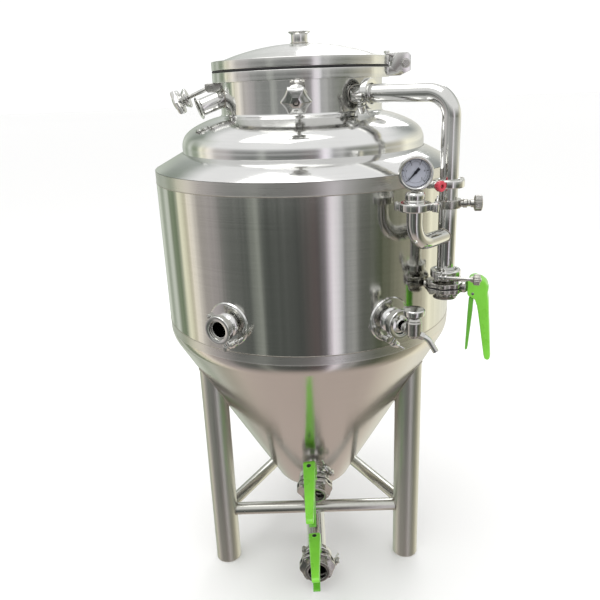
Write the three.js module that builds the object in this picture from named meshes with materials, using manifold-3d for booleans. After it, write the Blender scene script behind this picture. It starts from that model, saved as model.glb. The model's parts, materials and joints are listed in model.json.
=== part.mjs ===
// Jacketed conical fermenter, about 150 litres, on three tubular legs.
// Units are millimetres, +Z is up, the front of the fermenter faces -Y.
// Every piece is modelled about the tank's own vertical axis; the last lines
// move the whole assembly so that the origin is the bottom centre of its box.
import * as THREE from 'three';
import { mergeVertices } from 'three/addons/utils/BufferGeometryUtils.js';
import Module from 'manifold-3d';

const wasm = await Module();
wasm.setup();

// ---------------------------------------------------------------- dimensions
const WALL = 3;                 // sheet thickness of jacket and tank
const GAP = 0.4;                // clearance between separate touching pieces
const BIG = 24;                 // facets round the tank
const MED = 12;                 // facets round pipes and flanges
const LOW = 8;                 // facets round bolts and small pins

const JACKET_R = 360;           // outside radius of the cylinder
const Z_CONE = 657;             // theoretical corner between cylinder and cone
const Z_SHOULDER = 1062;        // top of the cylinder
const CONE_R0 = 100.7;          // radius of the truncated cone end
const CONE_Z0 = 191;            // height of the truncated cone end
const CONE_K = (JACKET_R - CONE_R0) / (Z_CONE - CONE_Z0);   // radius per mm of height
const KNUCKLE = 60;             // bend radius between cylinder and cone

const TANK_R = 291;             // inner vessel
const NECK_R = 192;
const Z_NECK_TOP = 1250.4;
const FLANGE_R = 208.4;
const Z_FLANGE = 1251;
const Z_GASKET = 1273.3;
const Z_LID = 1277.3;
const Z_RIM = 1297;
const Z_LID_PORT = 1358;

const LEG_R = 33;
const LEG_CIRCLE = 284;
const BRACE_R = 16.3;
const BRACE_Z = 152;

const PIPE_R = 19.05;           // 38 mm tube
const PIPE_RI = 17.5;
const FERRULE_R = 25.25;        // 50.5 mm ferrule
const OUTLET_R = 25.5;          // 51 mm tube
const OUTLET_RI = 23.7;
const OUTLET_FR = 32;           // 64 mm ferrule

const PORT_Z = 756;             // the two front ports
const PORT_AZ = 29;
const PORT_FACE = 394;          // their ferrule faces, from the tank axis
const ARM = [300, -272];        // vertical leg of the blow-off arm
const ARM_START = [118, -151];  // where the arm leaves the neck
const ARM_Z = 1218;
const ARM_STUB = 32;            // length of the neck stub that the arm clamps to
const GAUGE = [215.5, -358];    // gauge stem

const rad = (d) => d * Math.PI / 180;
const V = (x, y, z) => new THREE.Vector3(x, y, z);
// unit vector at azimuth a (0 = front, positive to the right) and elevation e
const out = (a, e = 0) => V(Math.sin(rad(a)) * Math.cos(rad(e)), -Math.cos(rad(a)) * Math.cos(rad(e)), Math.sin(rad(e)));

// ------------------------------------------------------------------ materials
const mat = (color, roughness, metalness, extra = {}) =>
  new THREE.MeshStandardMaterial({ color, roughness, metalness, ...extra });
const M = {
  brushed: () => mat(0xa9a69c, 0.34, 1.0),
  polished: () => mat(0xcfd0cc, 0.14, 1.0),
  satin: () => mat(0x9c9a93, 0.42, 1.0),
  rubber: () => mat(0x17181a, 0.75, 0.0),
  green: () => mat(0x6fd62a, 0.38, 0.0),
  red: () => mat(0xc8303a, 0.45, 0.0),
  dial: () => mat(0xe4e2ef, 0.6, 0.0),
  black: () => mat(0x111111, 0.6, 0.0),
  glass: () => mat(0xdfe8ee, 0.05, 0.0, { transparent: true, opacity: 0.35 }),
  foam: () => mat(0xd8c48c, 0.9, 0.0),
};

// ------------------------------------------------------------------- geometry
function solid(geo) {
  let g = geo.clone();
  for (const n of Object.keys(g.attributes)) if (n !== 'position') g.deleteAttribute(n);
  if (g.index === null) g = mergeVertices(g, 1e-4); else g = mergeVertices(g.toNonIndexed(), 1e-4);
  const pos = g.attributes.position.array, idx = g.index.array, tri = [];
  let vol = 0;
  for (let i = 0; i < idx.length; i += 3) {
    const [a, b, c] = [idx[i], idx[i + 1], idx[i + 2]];
    if (a === b || b === c || a === c) continue;
    tri.push(a, b, c);
    const p = V(pos[3 * a], pos[3 * a + 1], pos[3 * a + 2]);
    const q = V(pos[3 * b], pos[3 * b + 1], pos[3 * b + 2]);
    const r = V(pos[3 * c], pos[3 * c + 1], pos[3 * c + 2]);
    vol += p.dot(q.cross(r));
  }
  if (vol < 0) for (let i = 0; i < tri.length; i += 3) [tri[i], tri[i + 1]] = [tri[i + 1], tri[i]];
  return new wasm.Manifold(new wasm.Mesh({ numProp: 3, vertProperties: new Float32Array(pos), triVerts: new Uint32Array(tri) }));
}
function geometry(man) {
  const m = man.getMesh();
  const g = new THREE.BufferGeometry();
  g.setAttribute('position', new THREE.BufferAttribute(new Float32Array(m.vertProperties), 3));
  g.setIndex(new THREE.BufferAttribute(new Uint32Array(m.triVerts), 1));
  g.computeVertexNormals();
  return g;
}
const join = (...s) => s.reduce((a, b) => a.add(b));
const cut = (a, ...s) => s.reduce((x, b) => x.subtract(b), a);

// revolve a profile of [radius, height] about +Z; it closes on itself unless
// it starts and ends on the axis
function lathe(profile, seg = MED) {
  const p = profile.map(([r, z]) => new THREE.Vector2(r, z));
  if (!(profile[0][0] === 0 && profile[profile.length - 1][0] === 0)) p.push(p[0].clone());
  const g = new THREE.LatheGeometry(p, seg);
  g.rotateX(Math.PI / 2);
  return solid(g);
}
const disc = (r, z0, z1, seg = MED) => lathe([[0, z0], [r, z0], [r, z1], [0, z1]], seg);
const ring = (ro, ri, z0, z1, seg = MED) => lathe([[ri, z0], [ro, z0], [ro, z1], [ri, z1]], seg);
function block(x0, x1, y0, y1, z0, z1) {
  const g = new THREE.BoxGeometry(x1 - x0, y1 - y0, z1 - z0);
  g.translate((x0 + x1) / 2, (y0 + y1) / 2, (z0 + z1) / 2);
  return solid(g);
}
// extrude a polygon given in the local X-Z plane through y0..y1
function plate(points, y0, y1) {
  const g = new THREE.ExtrudeGeometry(new THREE.Shape(points.map(([x, z]) => new THREE.Vector2(x, z))), { depth: y1 - y0, bevelEnabled: false });
  g.rotateX(Math.PI / 2);            // shape Y becomes Z, depth runs towards -Y
  g.translate(0, y1, 0);
  return solid(g);
}
// put a solid made about +Z so that its axis runs along dir from origin
function basis(dir, ref) {
  const z = dir.clone().normalize();
  const x = ref.clone().addScaledVector(z, -ref.dot(z)).normalize();
  const y = z.clone().cross(x);
  return new THREE.Matrix4().makeBasis(x, y, z);
}
function at(man, origin, dir = V(0, 0, 1), ref = Math.abs(dir.z) > 0.9 ? V(1, 0, 0) : V(0, 0, 1)) {
  const g = geometry(man);
  g.applyMatrix4(basis(dir, ref).setPosition(origin));
  return solid(g);
}
// a route of straight runs and round bends, sampled only where it turns
class Route extends THREE.Curve {
  constructor(points, bend, steps = 6) {
    super();
    this.p = []; this.t = [];
    const n = points.length;
    for (let i = 0; i < n; i++) {
      if (i === 0 || i === n - 1) {
        const d = (i === 0 ? points[1].clone().sub(points[0]) : points[i].clone().sub(points[i - 1])).normalize();
        this.p.push(points[i].clone()); this.t.push(d);
        continue;
      }
      const a = points[i].clone().sub(points[i - 1]).normalize();
      const b = points[i + 1].clone().sub(points[i]).normalize();
      const ang = a.angleTo(b), cutback = bend * Math.tan(ang / 2);
      const start = points[i].clone().addScaledVector(a, -cutback);
      const side = b.clone().addScaledVector(a, -b.dot(a)).normalize();
      const centre = start.clone().addScaledVector(side, bend);
      for (let k = 0; k <= steps; k++) {
        const q = ang * k / steps;
        this.p.push(centre.clone().addScaledVector(side, -bend * Math.cos(q)).addScaledVector(a, bend * Math.sin(q)));
        this.t.push(a.clone().multiplyScalar(Math.cos(q)).addScaledVector(side, Math.sin(q)).normalize());
      }
    }
  }
  at(list, t) {
    const f = Math.min(Math.max(t, 0), 1) * (list.length - 1), i = Math.min(Math.floor(f + 1e-9), list.length - 2);
    return list[i].clone().lerp(list[i + 1], f - i);
  }
  getPoint(t) { return this.at(this.p, t); }
  getPointAt(t) { return this.at(this.p, t); }
  getTangent(t) { return this.at(this.t, t).normalize(); }
  getTangentAt(t) { return this.getTangent(t); }
}
function circle(r, seg, reverse) {
  const p = [];
  for (let i = 0; i < seg; i++) { const a = 2 * Math.PI * i / seg; p.push(new THREE.Vector2(r * Math.cos(a), r * Math.sin(a))); }
  return reverse ? p.reverse() : p;
}
// tube of outer radius ro (bore ri, or solid when ri is 0) along a route
function tube(points, bend, ro, ri, seg = MED, steps = 6) {
  const path = new Route(points, bend, steps);
  const shape = new THREE.Shape(circle(ro, seg));
  if (ri > 0) shape.holes.push(new THREE.Path(circle(ri, seg, true)));
  return solid(new THREE.ExtrudeGeometry(shape, { steps: path.p.length - 1, extrudePath: path, bevelEnabled: false }));
}

// ------------------------------------------------------- repeated hardware
// ferrule end: its face is at z = 0 and the tube comes from -Z
const ferrule = (rt, ri, rf) => lathe([[ri, 0], [rf, 0], [rf, -2.2], [rt, -5.5], [ri, -5.5]]);

// clamp round two ferrules, about z = 0; the closed ears are on the +X side,
// their bolt runs along +Y, and the hinge knuckle is on the -X side
function clamp(rt, rf, boltEnd = 26) {
  const ro = rf + 7;
  let c = ring(ro, rf + 1, -8, 8);
  c = join(c, block(ro - 2.5, ro + 15, -9, 9, -7, 7));
  c = join(c, at(disc(5, -7, 7, LOW), V(-ro - 3, 0, 0)), at(disc(4, -13, boltEnd, LOW), V(ro + 9, 0, 0), V(0, 1, 0)));
  return c;
}
// wing nut with its seat at z = 0, running on a bolt of radius 4
function wingNut() {
  let n = lathe([[4.5, 0], [9, 0], [9, 5], [7, 14.5], [4.5, 14.5]], LOW);
  const wing = (s) => plate([[5.5 * s, 5], [9 * s, 6], [12 * s, 8.2], [14.5 * s, 12.5], [16.6 * s, 16.6], [17.6 * s, 19.5], [16.4 * s, 22], [13.6 * s, 21], [10.8 * s, 16.5], [5.5 * s, 13]], -1.8, 1.8);
  n = join(n, wing(1), wing(-1));
  return n;
}
// round knurled knob with its seat at z = 0 on a stem of radius 4
const knob = (r, h) => lathe([[4.5, 0], [r * 0.55, 0], [r * 0.6, h * 0.25], [r, h * 0.35], [r, h * 0.9], [r * 0.85, h], [4.5, h]], 12);

// butterfly valve, flow along +Z, stem along +X, centre at the origin
const BFLY_L = 28;
function valveBody(rt, ri, rf, rb) {
  let b = lathe([[ri, -BFLY_L], [rf, -BFLY_L], [rf, -BFLY_L + 2.2], [rt + 1, -BFLY_L + 6], [rt + 1, -15], [rb, -15],
    [rb, 15], [rt + 1, 15], [rt + 1, BFLY_L - 6], [rf, BFLY_L - 2.2], [rf, BFLY_L], [ri, BFLY_L]]);
  b = join(b, at(disc(12, rt, 48.6, LOW), V(0, 0, 0), V(1, 0, 0)));
  return cut(b, at(disc(4.5, -ri - 8, 50, LOW), V(0, 0, 0), V(1, 0, 0)));
}
function valveDisc(ri) {
  const d = at(disc(ri - 0.9, -1.6, 1.6, MED), V(0, 0, 0), V(0, 1, 0));
  return join(d, at(disc(4, -ri - 7, 66, LOW), V(0, 0, 0), V(1, 0, 0)));
}
// grip lever: hub round the stem, long outer leg; the trigger sits inside it
const LEVER = [[49.4, -19], [54, -25], [64, -26.5], [77, -21.5], [86, -11], [90.5, 2], [93, 22], [104, 160], [101, 164],
  [94, 164], [91, 160], [72, 48], [70, 25], [67, 21], [54, 21], [49.4, 17]];
const TRIGGER = [[52.5, 22.6], [62.5, 23.4], [60.5, 60], [54, 143], [51, 146], [49.5, 143], [51, 60]];
const TRIGGER_PIVOT = [61, 12];
function lever() {
  let h = plate(LEVER, -13, 13);
  h = cut(h, at(disc(4.4, 48, 66.5, LOW), V(0, 0, 0), V(1, 0, 0)), block(54, 68, -4.3, 4.3, 6, 30));
  return join(h, at(disc(2, -9, 9, LOW), V(TRIGGER_PIVOT[0], 0, TRIGGER_PIVOT[1]), V(0, 1, 0)));
}
function trigger() {
  const t = join(plate(TRIGGER, -8, 8), plate([[56.6, 9], [65, 9], [65.2, 20], [60, 26], [56.6, 26]], -3.6, 3.6));
  return cut(t, at(disc(2.4, -9, 9, LOW), V(TRIGGER_PIVOT[0], 0, TRIGGER_PIVOT[1]), V(0, 1, 0)));
}

// ---------------------------------------------------------------- scene graph
const model = new THREE.Group();
function add(name, man, material, parent = model) {
  const mesh = new THREE.Mesh(geometry(man), material());
  mesh.name = name;
  parent.add(mesh);
  return mesh;
}
function frame(origin, dir, ref, parent = model) {
  const g = new THREE.Group();
  g.quaternion.setFromRotationMatrix(basis(dir, ref));
  g.position.copy(origin);
  parent.add(g);
  return g;
}

// -------------------------------------------------------------- tank shells
const half = Math.atan(CONE_K) / 2;
const knuckle = (R) => {            // arc from the cone up to the cylinder
  const pts = [], tl = KNUCKLE * Math.tan(half), zc = Z_CONE + tl, rc = JACKET_R - KNUCKLE;
  for (let i = 0; i <= 2; i++) { const a = -2 * half * (1 - i / 2); pts.push([rc + R * Math.cos(a), zc + R * Math.sin(a)]); }
  return pts;
};
const knuckleOut = knuckle(KNUCKLE), knuckleIn = knuckle(KNUCKLE - WALL).reverse();
const Z_SHELL0 = Z_CONE + KNUCKLE * Math.tan(half) + GAP;

let jacketShell = ring(JACKET_R, JACKET_R - WALL, Z_SHELL0, Z_SHOULDER - GAP, BIG);
let jacketCone = lathe([[31, 176.5], [70, 178.5], [90, 183.5], [CONE_R0 - 2.6, CONE_Z0 - 4], [CONE_R0 + 1.2, CONE_Z0 + 3],
  ...knuckleOut, ...knuckleIn, [CONE_R0 - 1.4, CONE_Z0 + 3.4], [89, 187], [70, 181.6], [31, 179.6]], BIG);
const shoulder = lathe([[JACKET_R - WALL, Z_SHOULDER], [JACKET_R, Z_SHOULDER], [TANK_R + GAP, 1098], [TANK_R + GAP, 1094.4]], BIG);

const INNER_K = CONE_K;
const innerZ = (r) => Z_CONE - (293.6 - r) / INNER_K;
const tankOut = [[25.5, 160], [25.5, innerZ(25.5)], [TANK_R, innerZ(TANK_R)], [TANK_R, 1114], [288, 1126], [283.5, 1137], [268, 1149],
  [247, 1160], [218, 1172], [NECK_R, 1177], [NECK_R, Z_NECK_TOP]];
const tankIn = [[NECK_R - WALL, Z_NECK_TOP], [NECK_R - WALL, 1174.2], [217.2, 1169], [245.6, 1157.2], [266.2, 1146.4], [281, 1135], [285.1, 1125.3],
  [TANK_R - WALL, 1113.6], [TANK_R - WALL, innerZ(TANK_R) + 1], [22.6, innerZ(22.6) + 6], [22.6, 160]];
let innerTank = lathe([...tankOut, ...tankIn], BIG);
const innerVoid = lathe([[0, 150], [22.6, 150], ...tankIn.slice().reverse().slice(1), [NECK_R - WALL, 1262], [0, 1262]], BIG);
const insulation0 = lathe([[37.2, 194.5], [TANK_R + 0.7, 652.5], [TANK_R + 0.7, 1092.5], [356.2, 1060], [356.2, 676], [346.4, 640], [98.3, 194.5]], BIG);

// side tubes on the neck
const armDir = V(ARM[0] - ARM_START[0], ARM[1] - ARM_START[1], 0).normalize();
const armOrigin = V(ARM_START[0], ARM_START[1], ARM_Z);
const armFace = armOrigin.clone().addScaledVector(armDir, ARM_STUB);
const sideDir = out(-70, -19), sideOrigin = out(-70).multiplyScalar(191).setZ(1218);
const sideFace = sideOrigin.clone().addScaledVector(sideDir, 62);
const stub = (origin, dir, len) => join(at(disc(PIPE_R, -40, len - 3), origin, dir), at(cut(ferrule(PIPE_R, PIPE_RI, FERRULE_R)), origin.clone().addScaledVector(dir, len), dir));
let neckStubs = join(stub(armOrigin, armDir, ARM_STUB), stub(sideOrigin, sideDir, 62));
neckStubs = cut(neckStubs, disc(NECK_R - 1.5, 1100, 1260, BIG));
innerTank = join(innerTank, neckStubs);
innerTank = cut(innerTank, at(disc(PIPE_RI, -45, 50), armOrigin, armDir), at(disc(PIPE_RI, -45, 80), sideOrigin, sideDir));

// front ports and racking port: tubes through jacket, foam and tank
const portDirL = out(-PORT_AZ), portDirR = out(PORT_AZ);
const base = V(0, 0, PORT_Z);
const port = (dir, face) => {
  let p = join(at(disc(PIPE_R, 270, face - 3), base, dir), at(ferrule(PIPE_R, PIPE_RI, FERRULE_R), base.clone().addScaledVector(dir, face), dir),
    at(cut(lathe([[15, 350], [50, 350], [50, 361.5], [46, 364.5], [30, 366], [22, 372], [15, 372]]), disc(0.1, -1, 0, 3)), base, dir));
  const inside = join(disc(TANK_R - WALL + 0.6, 600, 1000, BIG));
  const behindPad = cut(disc(JACKET_R + 0.35, 600, 1000, BIG), at(disc(PIPE_R + 0.05, 200, 420), base, dir));
  p = cut(p, inside, behindPad);
  return cut(p, at(disc(PIPE_RI, 200, face + 5), base, dir));
};
const rackDir = V(0, -Math.cos(rad(20)), -Math.sin(rad(20)));
const RACK = V(0, -202.5, 256.5);
const rackFace = RACK.clone().addScaledVector(rackDir, -BFLY_L - 0.6);
let rackPort = join(at(disc(OUTLET_R, -150, -3), rackFace, rackDir), at(ferrule(OUTLET_R, OUTLET_RI, OUTLET_FR), rackFace, rackDir));
rackPort = cut(rackPort, innerVoid, at(disc(OUTLET_RI, -160, 5), rackFace, rackDir));

const holeL = at(disc(PIPE_R + 0.4, 200, 420), base, portDirL), holeR = at(disc(PIPE_R + 0.4, 200, 420), base, portDirR);
const holeRack = at(disc(OUTLET_R + 0.4, -130, -4), rackFace, rackDir);
jacketShell = cut(jacketShell, holeL, holeR);
jacketCone = cut(jacketCone, holeRack);
innerTank = cut(innerTank, holeL, holeR, holeRack);
const insulation = cut(insulation0, holeL, holeR, holeRack);

add('jacket_shell', jacketShell, M.brushed);
add('jacket_cone', jacketCone, M.brushed);
add('shoulder_ring', shoulder, M.brushed);
add('inner_tank', innerTank, M.polished);
add('insulation', insulation, M.foam);

// ------------------------------------------- flange, gasket, lugs and hinge
const LUG_R = 217, LUG_Z = 1243;
const LUGS = { left: -90, front: -2, rear: 180 };
const HINGE_X = 246, HINGE_Z = 1280;
let flange = ring(FLANGE_R, NECK_R - WALL, Z_FLANGE, Z_GASKET - GAP, BIG);
for (const a of Object.values(LUGS)) {
  const o = out(a), f = V(0, 0, LUG_Z);
  // local X points outward, local Z up
  const lug = join(block(196, 224, -11, -6.2, -10, 10), block(196, 224, 6.2, 11, -10, 10), at(disc(3.5, -11, 11, LOW), V(LUG_R, 0, 0), V(0, 1, 0)));
  const m = geometry(lug); m.applyMatrix4(new THREE.Matrix4().makeRotationZ(Math.atan2(o.y, o.x)).setPosition(f));
  flange = join(flange, solid(m));
}
const ear = (y0, y1) => plate([[200, 1254], [232, 1254], [257, 1266], [257, 1296], [250, 1303], [228, 1303], [218, 1292], [213, 1272], [200, 1272]], y0, y1);
flange = join(flange, ear(-19, -12), ear(12, 19));
flange = cut(flange, at(disc(5.3, -30, 30, 16), V(HINGE_X, 0, HINGE_Z), V(0, 1, 0)), disc(NECK_R - WALL, 1240, 1280, BIG));
add('neck_flange', flange, M.brushed);
add('lid_gasket', ring(207, 186, Z_GASKET, Z_LID - GAP, BIG), M.rubber);
add('lid_hinge_pin', join(disc(4.9, -23, 23, 12), disc(7.5, 19.5, 23, 12), disc(7.5, -23, -19.5, 12)), M.polished,
  frame(V(HINGE_X, 0, HINGE_Z), V(0, 1, 0), V(1, 0, 0)));

// ------------------------------------------------------------------------ lid
add('lid', lathe([[PIPE_RI, Z_LID_PORT], [FERRULE_R, Z_LID_PORT], [FERRULE_R, Z_LID_PORT - 2.2], [PIPE_R, Z_LID_PORT - 5.5], [PIPE_R, 1332],
  [60, 1328.6], [105, 1321.5], [150, 1310.5], [184, 1299], [189, Z_RIM], [FLANGE_R, Z_RIM], [FLANGE_R, Z_LID], [186, Z_LID], [186, 1294.5],
  [150, 1306.8], [105, 1318], [60, 1325], [PIPE_RI, 1328]], BIG), M.brushed);
{
  let h = plate([[209.2, 1284], [226, 1284], [236, 1271], [246, 1268.5], [255, 1272], [257, 1280], [255, 1288], [246, 1291.5], [226, 1303], [186, 1303], [186, 1297.5], [209.2, 1297.5]], -11, 11);
  h = cut(h, at(disc(5.3, -30, 30, 16), V(HINGE_X, 0, HINGE_Z), V(0, 1, 0)));
  add('lid_hinge_arm', cut(h, block(186, 200, -12, 12, 1290, 1304)), M.polished);
}

// ---------------------------------------------------------------- swing bolts
const DROOP = 22;
for (const [name, a] of Object.entries(LUGS)) {
  const dir = out(a, -DROOP), tangent = out(a).cross(V(0, 0, 1));
  const g = frame(out(a).multiplyScalar(LUG_R).setZ(LUG_Z), dir, tangent);
  // local Z along the rod, local X along the pivot
  let rod = join(at(ring(8.5, 3.9, -5.4, 5.4, 12), V(0, 0, 0), V(1, 0, 0)), disc(5, 6.5, 96, LOW));
  rod = cut(rod, at(disc(3.9, -8, 8, 12), V(0, 0, 0), V(1, 0, 0)));
  add('swing_bolt_' + name, rod, M.polished, g);
  const star = [];
  for (let i = 0; i < 12; i++) { const q = 2 * Math.PI * i / 12, r = 27.2 + 4.8 * Math.cos(6 * q); star.push(new THREE.Vector2(r * Math.cos(q), r * Math.sin(q))); }
  const sh = new THREE.Shape(star);
  const sg = new THREE.ExtrudeGeometry(sh, { depth: 16, bevelEnabled: false });
  sg.translate(0, 0, 76);
  let k = join(lathe([[0, 57.5], [23, 57.5], [23, 61], [15, 76], [15, 78], [0, 78]]), solid(sg), disc(12, 91, 95));
  k = cut(k, disc(5.6, 50, 100, LOW));
  add('star_knob_' + name, k, M.polished, g);
}

// ---------------------------------------------------------------- legs, braces
const coneCut = lathe([[0, 150], [CONE_R0 + 0.6 + CONE_K * (150 - CONE_Z0), 150], [JACKET_R + 0.6, Z_CONE], [JACKET_R + 0.6, 760], [0, 760]], BIG);
const legs = { left: -60, right: 60, rear: 180 };
for (const [name, a] of Object.entries(legs)) {
  const p = out(a).multiplyScalar(LEG_CIRCLE);
  const leg = at(cut(disc(LEG_R, 0, 640), disc(LEG_R - WALL, 4, 645)), p);
  // the piece left over outside the cone line is dropped with the top slab
  add('leg_' + name, cut(leg, coneCut, block(-500, 500, -500, 500, 600, 700)), M.satin);
}
const braces = { front: ['left', 'right'], right: ['right', 'rear'], left: ['rear', 'left'] };
for (const [name, [a, b]] of Object.entries(braces)) {
  const p = out(legs[a]).multiplyScalar(LEG_CIRCLE).setZ(BRACE_Z), q = out(legs[b]).multiplyScalar(LEG_CIRCLE).setZ(BRACE_Z);
  const d = q.clone().sub(p), len = d.length();
  let br = at(ring(BRACE_R, BRACE_R - 2.5, 8, len - 8, MED), p, d.normalize());
  for (const k of [a, b]) br = cut(br, at(disc(LEG_R + 0.4, -10, 500), out(legs[k]).multiplyScalar(LEG_CIRCLE)));
  add('brace_' + name, br, M.satin);
}

// ----------------------------------------------------------------- front ports
add('port_left', port(portDirL, PORT_FACE), M.polished);
add('port_right', port(portDirR, PORT_FACE), M.polished);
{
  // ears towards the lower right of the port
  const g = frame(base.clone().addScaledVector(portDirL, PORT_FACE), portDirL, V(0.72, 0.3, -0.69));
  add('port_left_clamp', clamp(PIPE_R, FERRULE_R, 30), M.polished, g);
  add('port_left_nut', wingNut(), M.polished, frame(V(FERRULE_R + 16, 9.6, 0), V(0, 1, 0), V(0, 0, 1), g));
}
{
  const g = frame(base.clone().addScaledVector(portDirR, PORT_FACE + 0.3), portDirR, V(-0.55, -0.2, -0.8));
  add('port_right_clamp', clamp(PIPE_R, FERRULE_R, 22), M.polished, g);
}
// sample valve: inlet on the port axis, vertical body, spout to the right
const SV_R = 442, SV_UP = 11;
{
  const low = base.clone().addScaledVector(portDirR, SV_R), o = low.clone().add(V(0, 0, SV_UP));
  let b = lathe([[0, -26], [12, -26], [16.5, -20], [16.5, 13], [13, 18], [5, 18], [5, 30], [0, 30]], MED);
  b = join(at(b, o), at(disc(12, PORT_FACE + 3.3 - SV_R, -8, MED), low, portDirR), at(lathe([[0, 0.3], [FERRULE_R, 0.3], [FERRULE_R, 2.5], [12, 6], [0, 6]]), base.clone().addScaledVector(portDirR, PORT_FACE + 0.3), portDirR));
  const spoutDir = V(0.93, -0.36, 0).normalize();
  const s0 = o.clone().add(V(0, 0, -14)), s1 = s0.clone().addScaledVector(spoutDir, 30).add(V(0, 0, -12)), s2 = s1.clone().addScaledVector(spoutDir, 16).add(V(0, 0, -26));
  b = join(b, tube([s0, s1, s2], 22, 6.3, 0, LOW, 4));
  const tip = s2.clone(), td = s2.clone().sub(s1).normalize();
  b = cut(b, at(disc(4.6, -22, 2, LOW), tip, td), at(disc(9, PORT_FACE - 1 - SV_R, -22, 16), low, portDirR));
  add('sample_valve_body', b, M.polished);
  add('sample_valve_knob', lathe([[0, 37], [20, 37], [21.5, 35], [21.5, 24], [20, 22], [11, 19], [5.5, 19], [5.5, 30.5], [0, 30.5]], MED), M.polished, frame(o, V(0, 0, 1), V(1, 0, 0)));
}

// ------------------------------------------------------------ blow-off arm
{
  const g = frame(armFace.clone().addScaledVector(armDir, 0.3), armDir, V(-0.6, -0.72, -0.35));
  add('arm_top_clamp', clamp(PIPE_R, FERRULE_R, 27), M.polished, g);
  add('arm_top_nut', wingNut(), M.polished, frame(V(FERRULE_R + 16, 9.6, 0), V(0, 1, 0), V(0, 0, 1), g));
}
const Z_MID = 1037, Z_VALVE = 816;
const arm = (z) => V(ARM[0], ARM[1], z);
const start = armFace.clone().addScaledVector(armDir, 0.6);
{
  let p = tube([start.clone().addScaledVector(armDir, 3), arm(ARM_Z), arm(Z_MID + 3.3)], 50, PIPE_R, PIPE_RI, MED, 5);
  p = join(p, at(ferrule(PIPE_R, PIPE_RI, FERRULE_R), start, armDir.clone().negate()), at(ferrule(PIPE_R, PIPE_RI, FERRULE_R), arm(Z_MID + 0.3), V(0, 0, -1)));
  add('arm_pipe_upper', p, M.polished);
}
{
  const g = frame(arm(Z_MID), V(0, 0, 1), V(-0.86, -0.5, 0));
  add('arm_mid_clamp', clamp(PIPE_R, FERRULE_R, 22), M.polished, g);
  add('arm_mid_nut', knob(10, 16), M.red, frame(V(FERRULE_R + 16, 9.6, 0), V(0, 1, 0), V(0, 0, 1), g));
}
const Z_TEE = 928, Z_BOSS = 995, Z_GCLAMP = 1007;
const bossDir = V(0.985, -0.17, 0).normalize();
{
  const z0 = Z_VALVE + BFLY_L + 0.6;
  const g3 = (z) => V(GAUGE[0], GAUGE[1], z);
  let p = disc(PIPE_R, z0 + 3, Z_MID - 3.3);
  p = join(at(p, V(ARM[0], ARM[1], 0)), at(ferrule(PIPE_R, PIPE_RI, FERRULE_R), arm(Z_MID - 0.3), V(0, 0, 1)), at(ferrule(PIPE_R, PIPE_RI, FERRULE_R), arm(z0), V(0, 0, -1)),
    tube([arm(Z_TEE), g3(Z_TEE), g3(Z_GCLAMP - 3.3)], 48, 16, 0, MED, 5), at(ferrule(16, 14.4, FERRULE_R), g3(Z_GCLAMP - 0.3), V(0, 0, 1)),
    at(disc(27, -9, 9), arm(Z_BOSS)), at(disc(8, 10, 45, 16), arm(Z_BOSS), bossDir), at(disc(4, 40, 62, LOW), arm(Z_BOSS), bossDir));
  p = cut(p, at(disc(PIPE_RI, z0 - 5, Z_MID + 5), V(ARM[0], ARM[1], 0)));
  p = cut(p, tube([arm(Z_TEE), g3(Z_TEE), g3(Z_GCLAMP + 3)], 48, 14.4, 0, MED, 5));
  add('arm_pipe_lower', p, M.polished);
  add('arm_side_knob', knob(15.5, 24), M.satin, frame(arm(Z_BOSS).addScaledVector(bossDir, 46), bossDir, V(0, 0, 1)));
}

// ------------------------------------------------------------------- gauge
{
  const g = frame(V(GAUGE[0], GAUGE[1], Z_GCLAMP), V(0, 0, 1), V(0.95, -0.3, 0));
  add('gauge_clamp', clamp(16, FERRULE_R, 24), M.polished, g);
  add('gauge_seal_base', lathe([[0, 0.3], [FERRULE_R, 0.3], [FERRULE_R, 2.5], [19.5, 6.5], [19.5, 26], [15, 29], [0, 29]]), M.polished, frame(V(GAUGE[0], GAUGE[1], Z_GCLAMP), V(0, 0, 1), V(1, 0, 0)));
  const face = frame(V(GAUGE[0], GAUGE[1], 1073), out(-5), V(0, 0, 1));
  // local Z points to the reader, local X points up
  let c = lathe([[0, -16], [29, -16], [31, -13], [31, 8], [34, 8], [34, 13], [31.5, 15.5], [28, 15.5], [28, -2], [0, -2]], 20);
  c = join(c, at(lathe([[0, 29], [7, 29], [7, 36.5], [0, 36.5]], 6), V(0, 0, 0), V(-1, 0, 0)));
  add('gauge_case', c, M.polished, face);
  add('gauge_dial', disc(27.3, -1.6, -0.5, 20), M.dial, face);
  // pointer lies towards the zero mark, lower left of the dial
  const n = frame(V(0, 0, 0), V(0, 0, 1), V(-0.745, 0.667, 0), face);
  let ndl = plate([[-10, -2.2], [-3, -2.2], [2, -1.4], [22, -0.4], [22, 0.4], [2, 1.4], [-3, 2.2], [-10, 2.2]], -0.6, 0.6);
  ndl = join(at(ndl, V(0, 0, 1.8), V(0, 1, 0), V(1, 0, 0)), disc(3, 0.3, 3.2, LOW));
  add('gauge_needle', ndl, M.black, n);
  add('gauge_lens', disc(27.4, 9, 11, 20), M.glass, face);
}

// --------------------------------------------------------------- arm valve
{
  const gc = frame(arm(Z_VALVE + BFLY_L + 0.3), V(0, 0, 1), V(-0.35, -0.94, 0));
  add('arm_valve_clamp', clamp(PIPE_R, FERRULE_R, 80), M.polished, gc);
  add('arm_valve_nut', knob(11, 20), M.satin, frame(V(FERRULE_R + 16, 58, 0), V(0, 1, 0), V(0, 0, 1), gc));
  const g = frame(arm(Z_VALVE), V(0, 0, -1), out(70));
  add('arm_valve_body', valveBody(PIPE_R, PIPE_RI, FERRULE_R, 43), M.satin, g);
  add('arm_valve_disc', valveDisc(PIPE_RI), M.polished, g);
  add('arm_valve_handle', lever(), M.green, g);
  add('arm_valve_trigger', trigger(), M.green, g);
}

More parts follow.
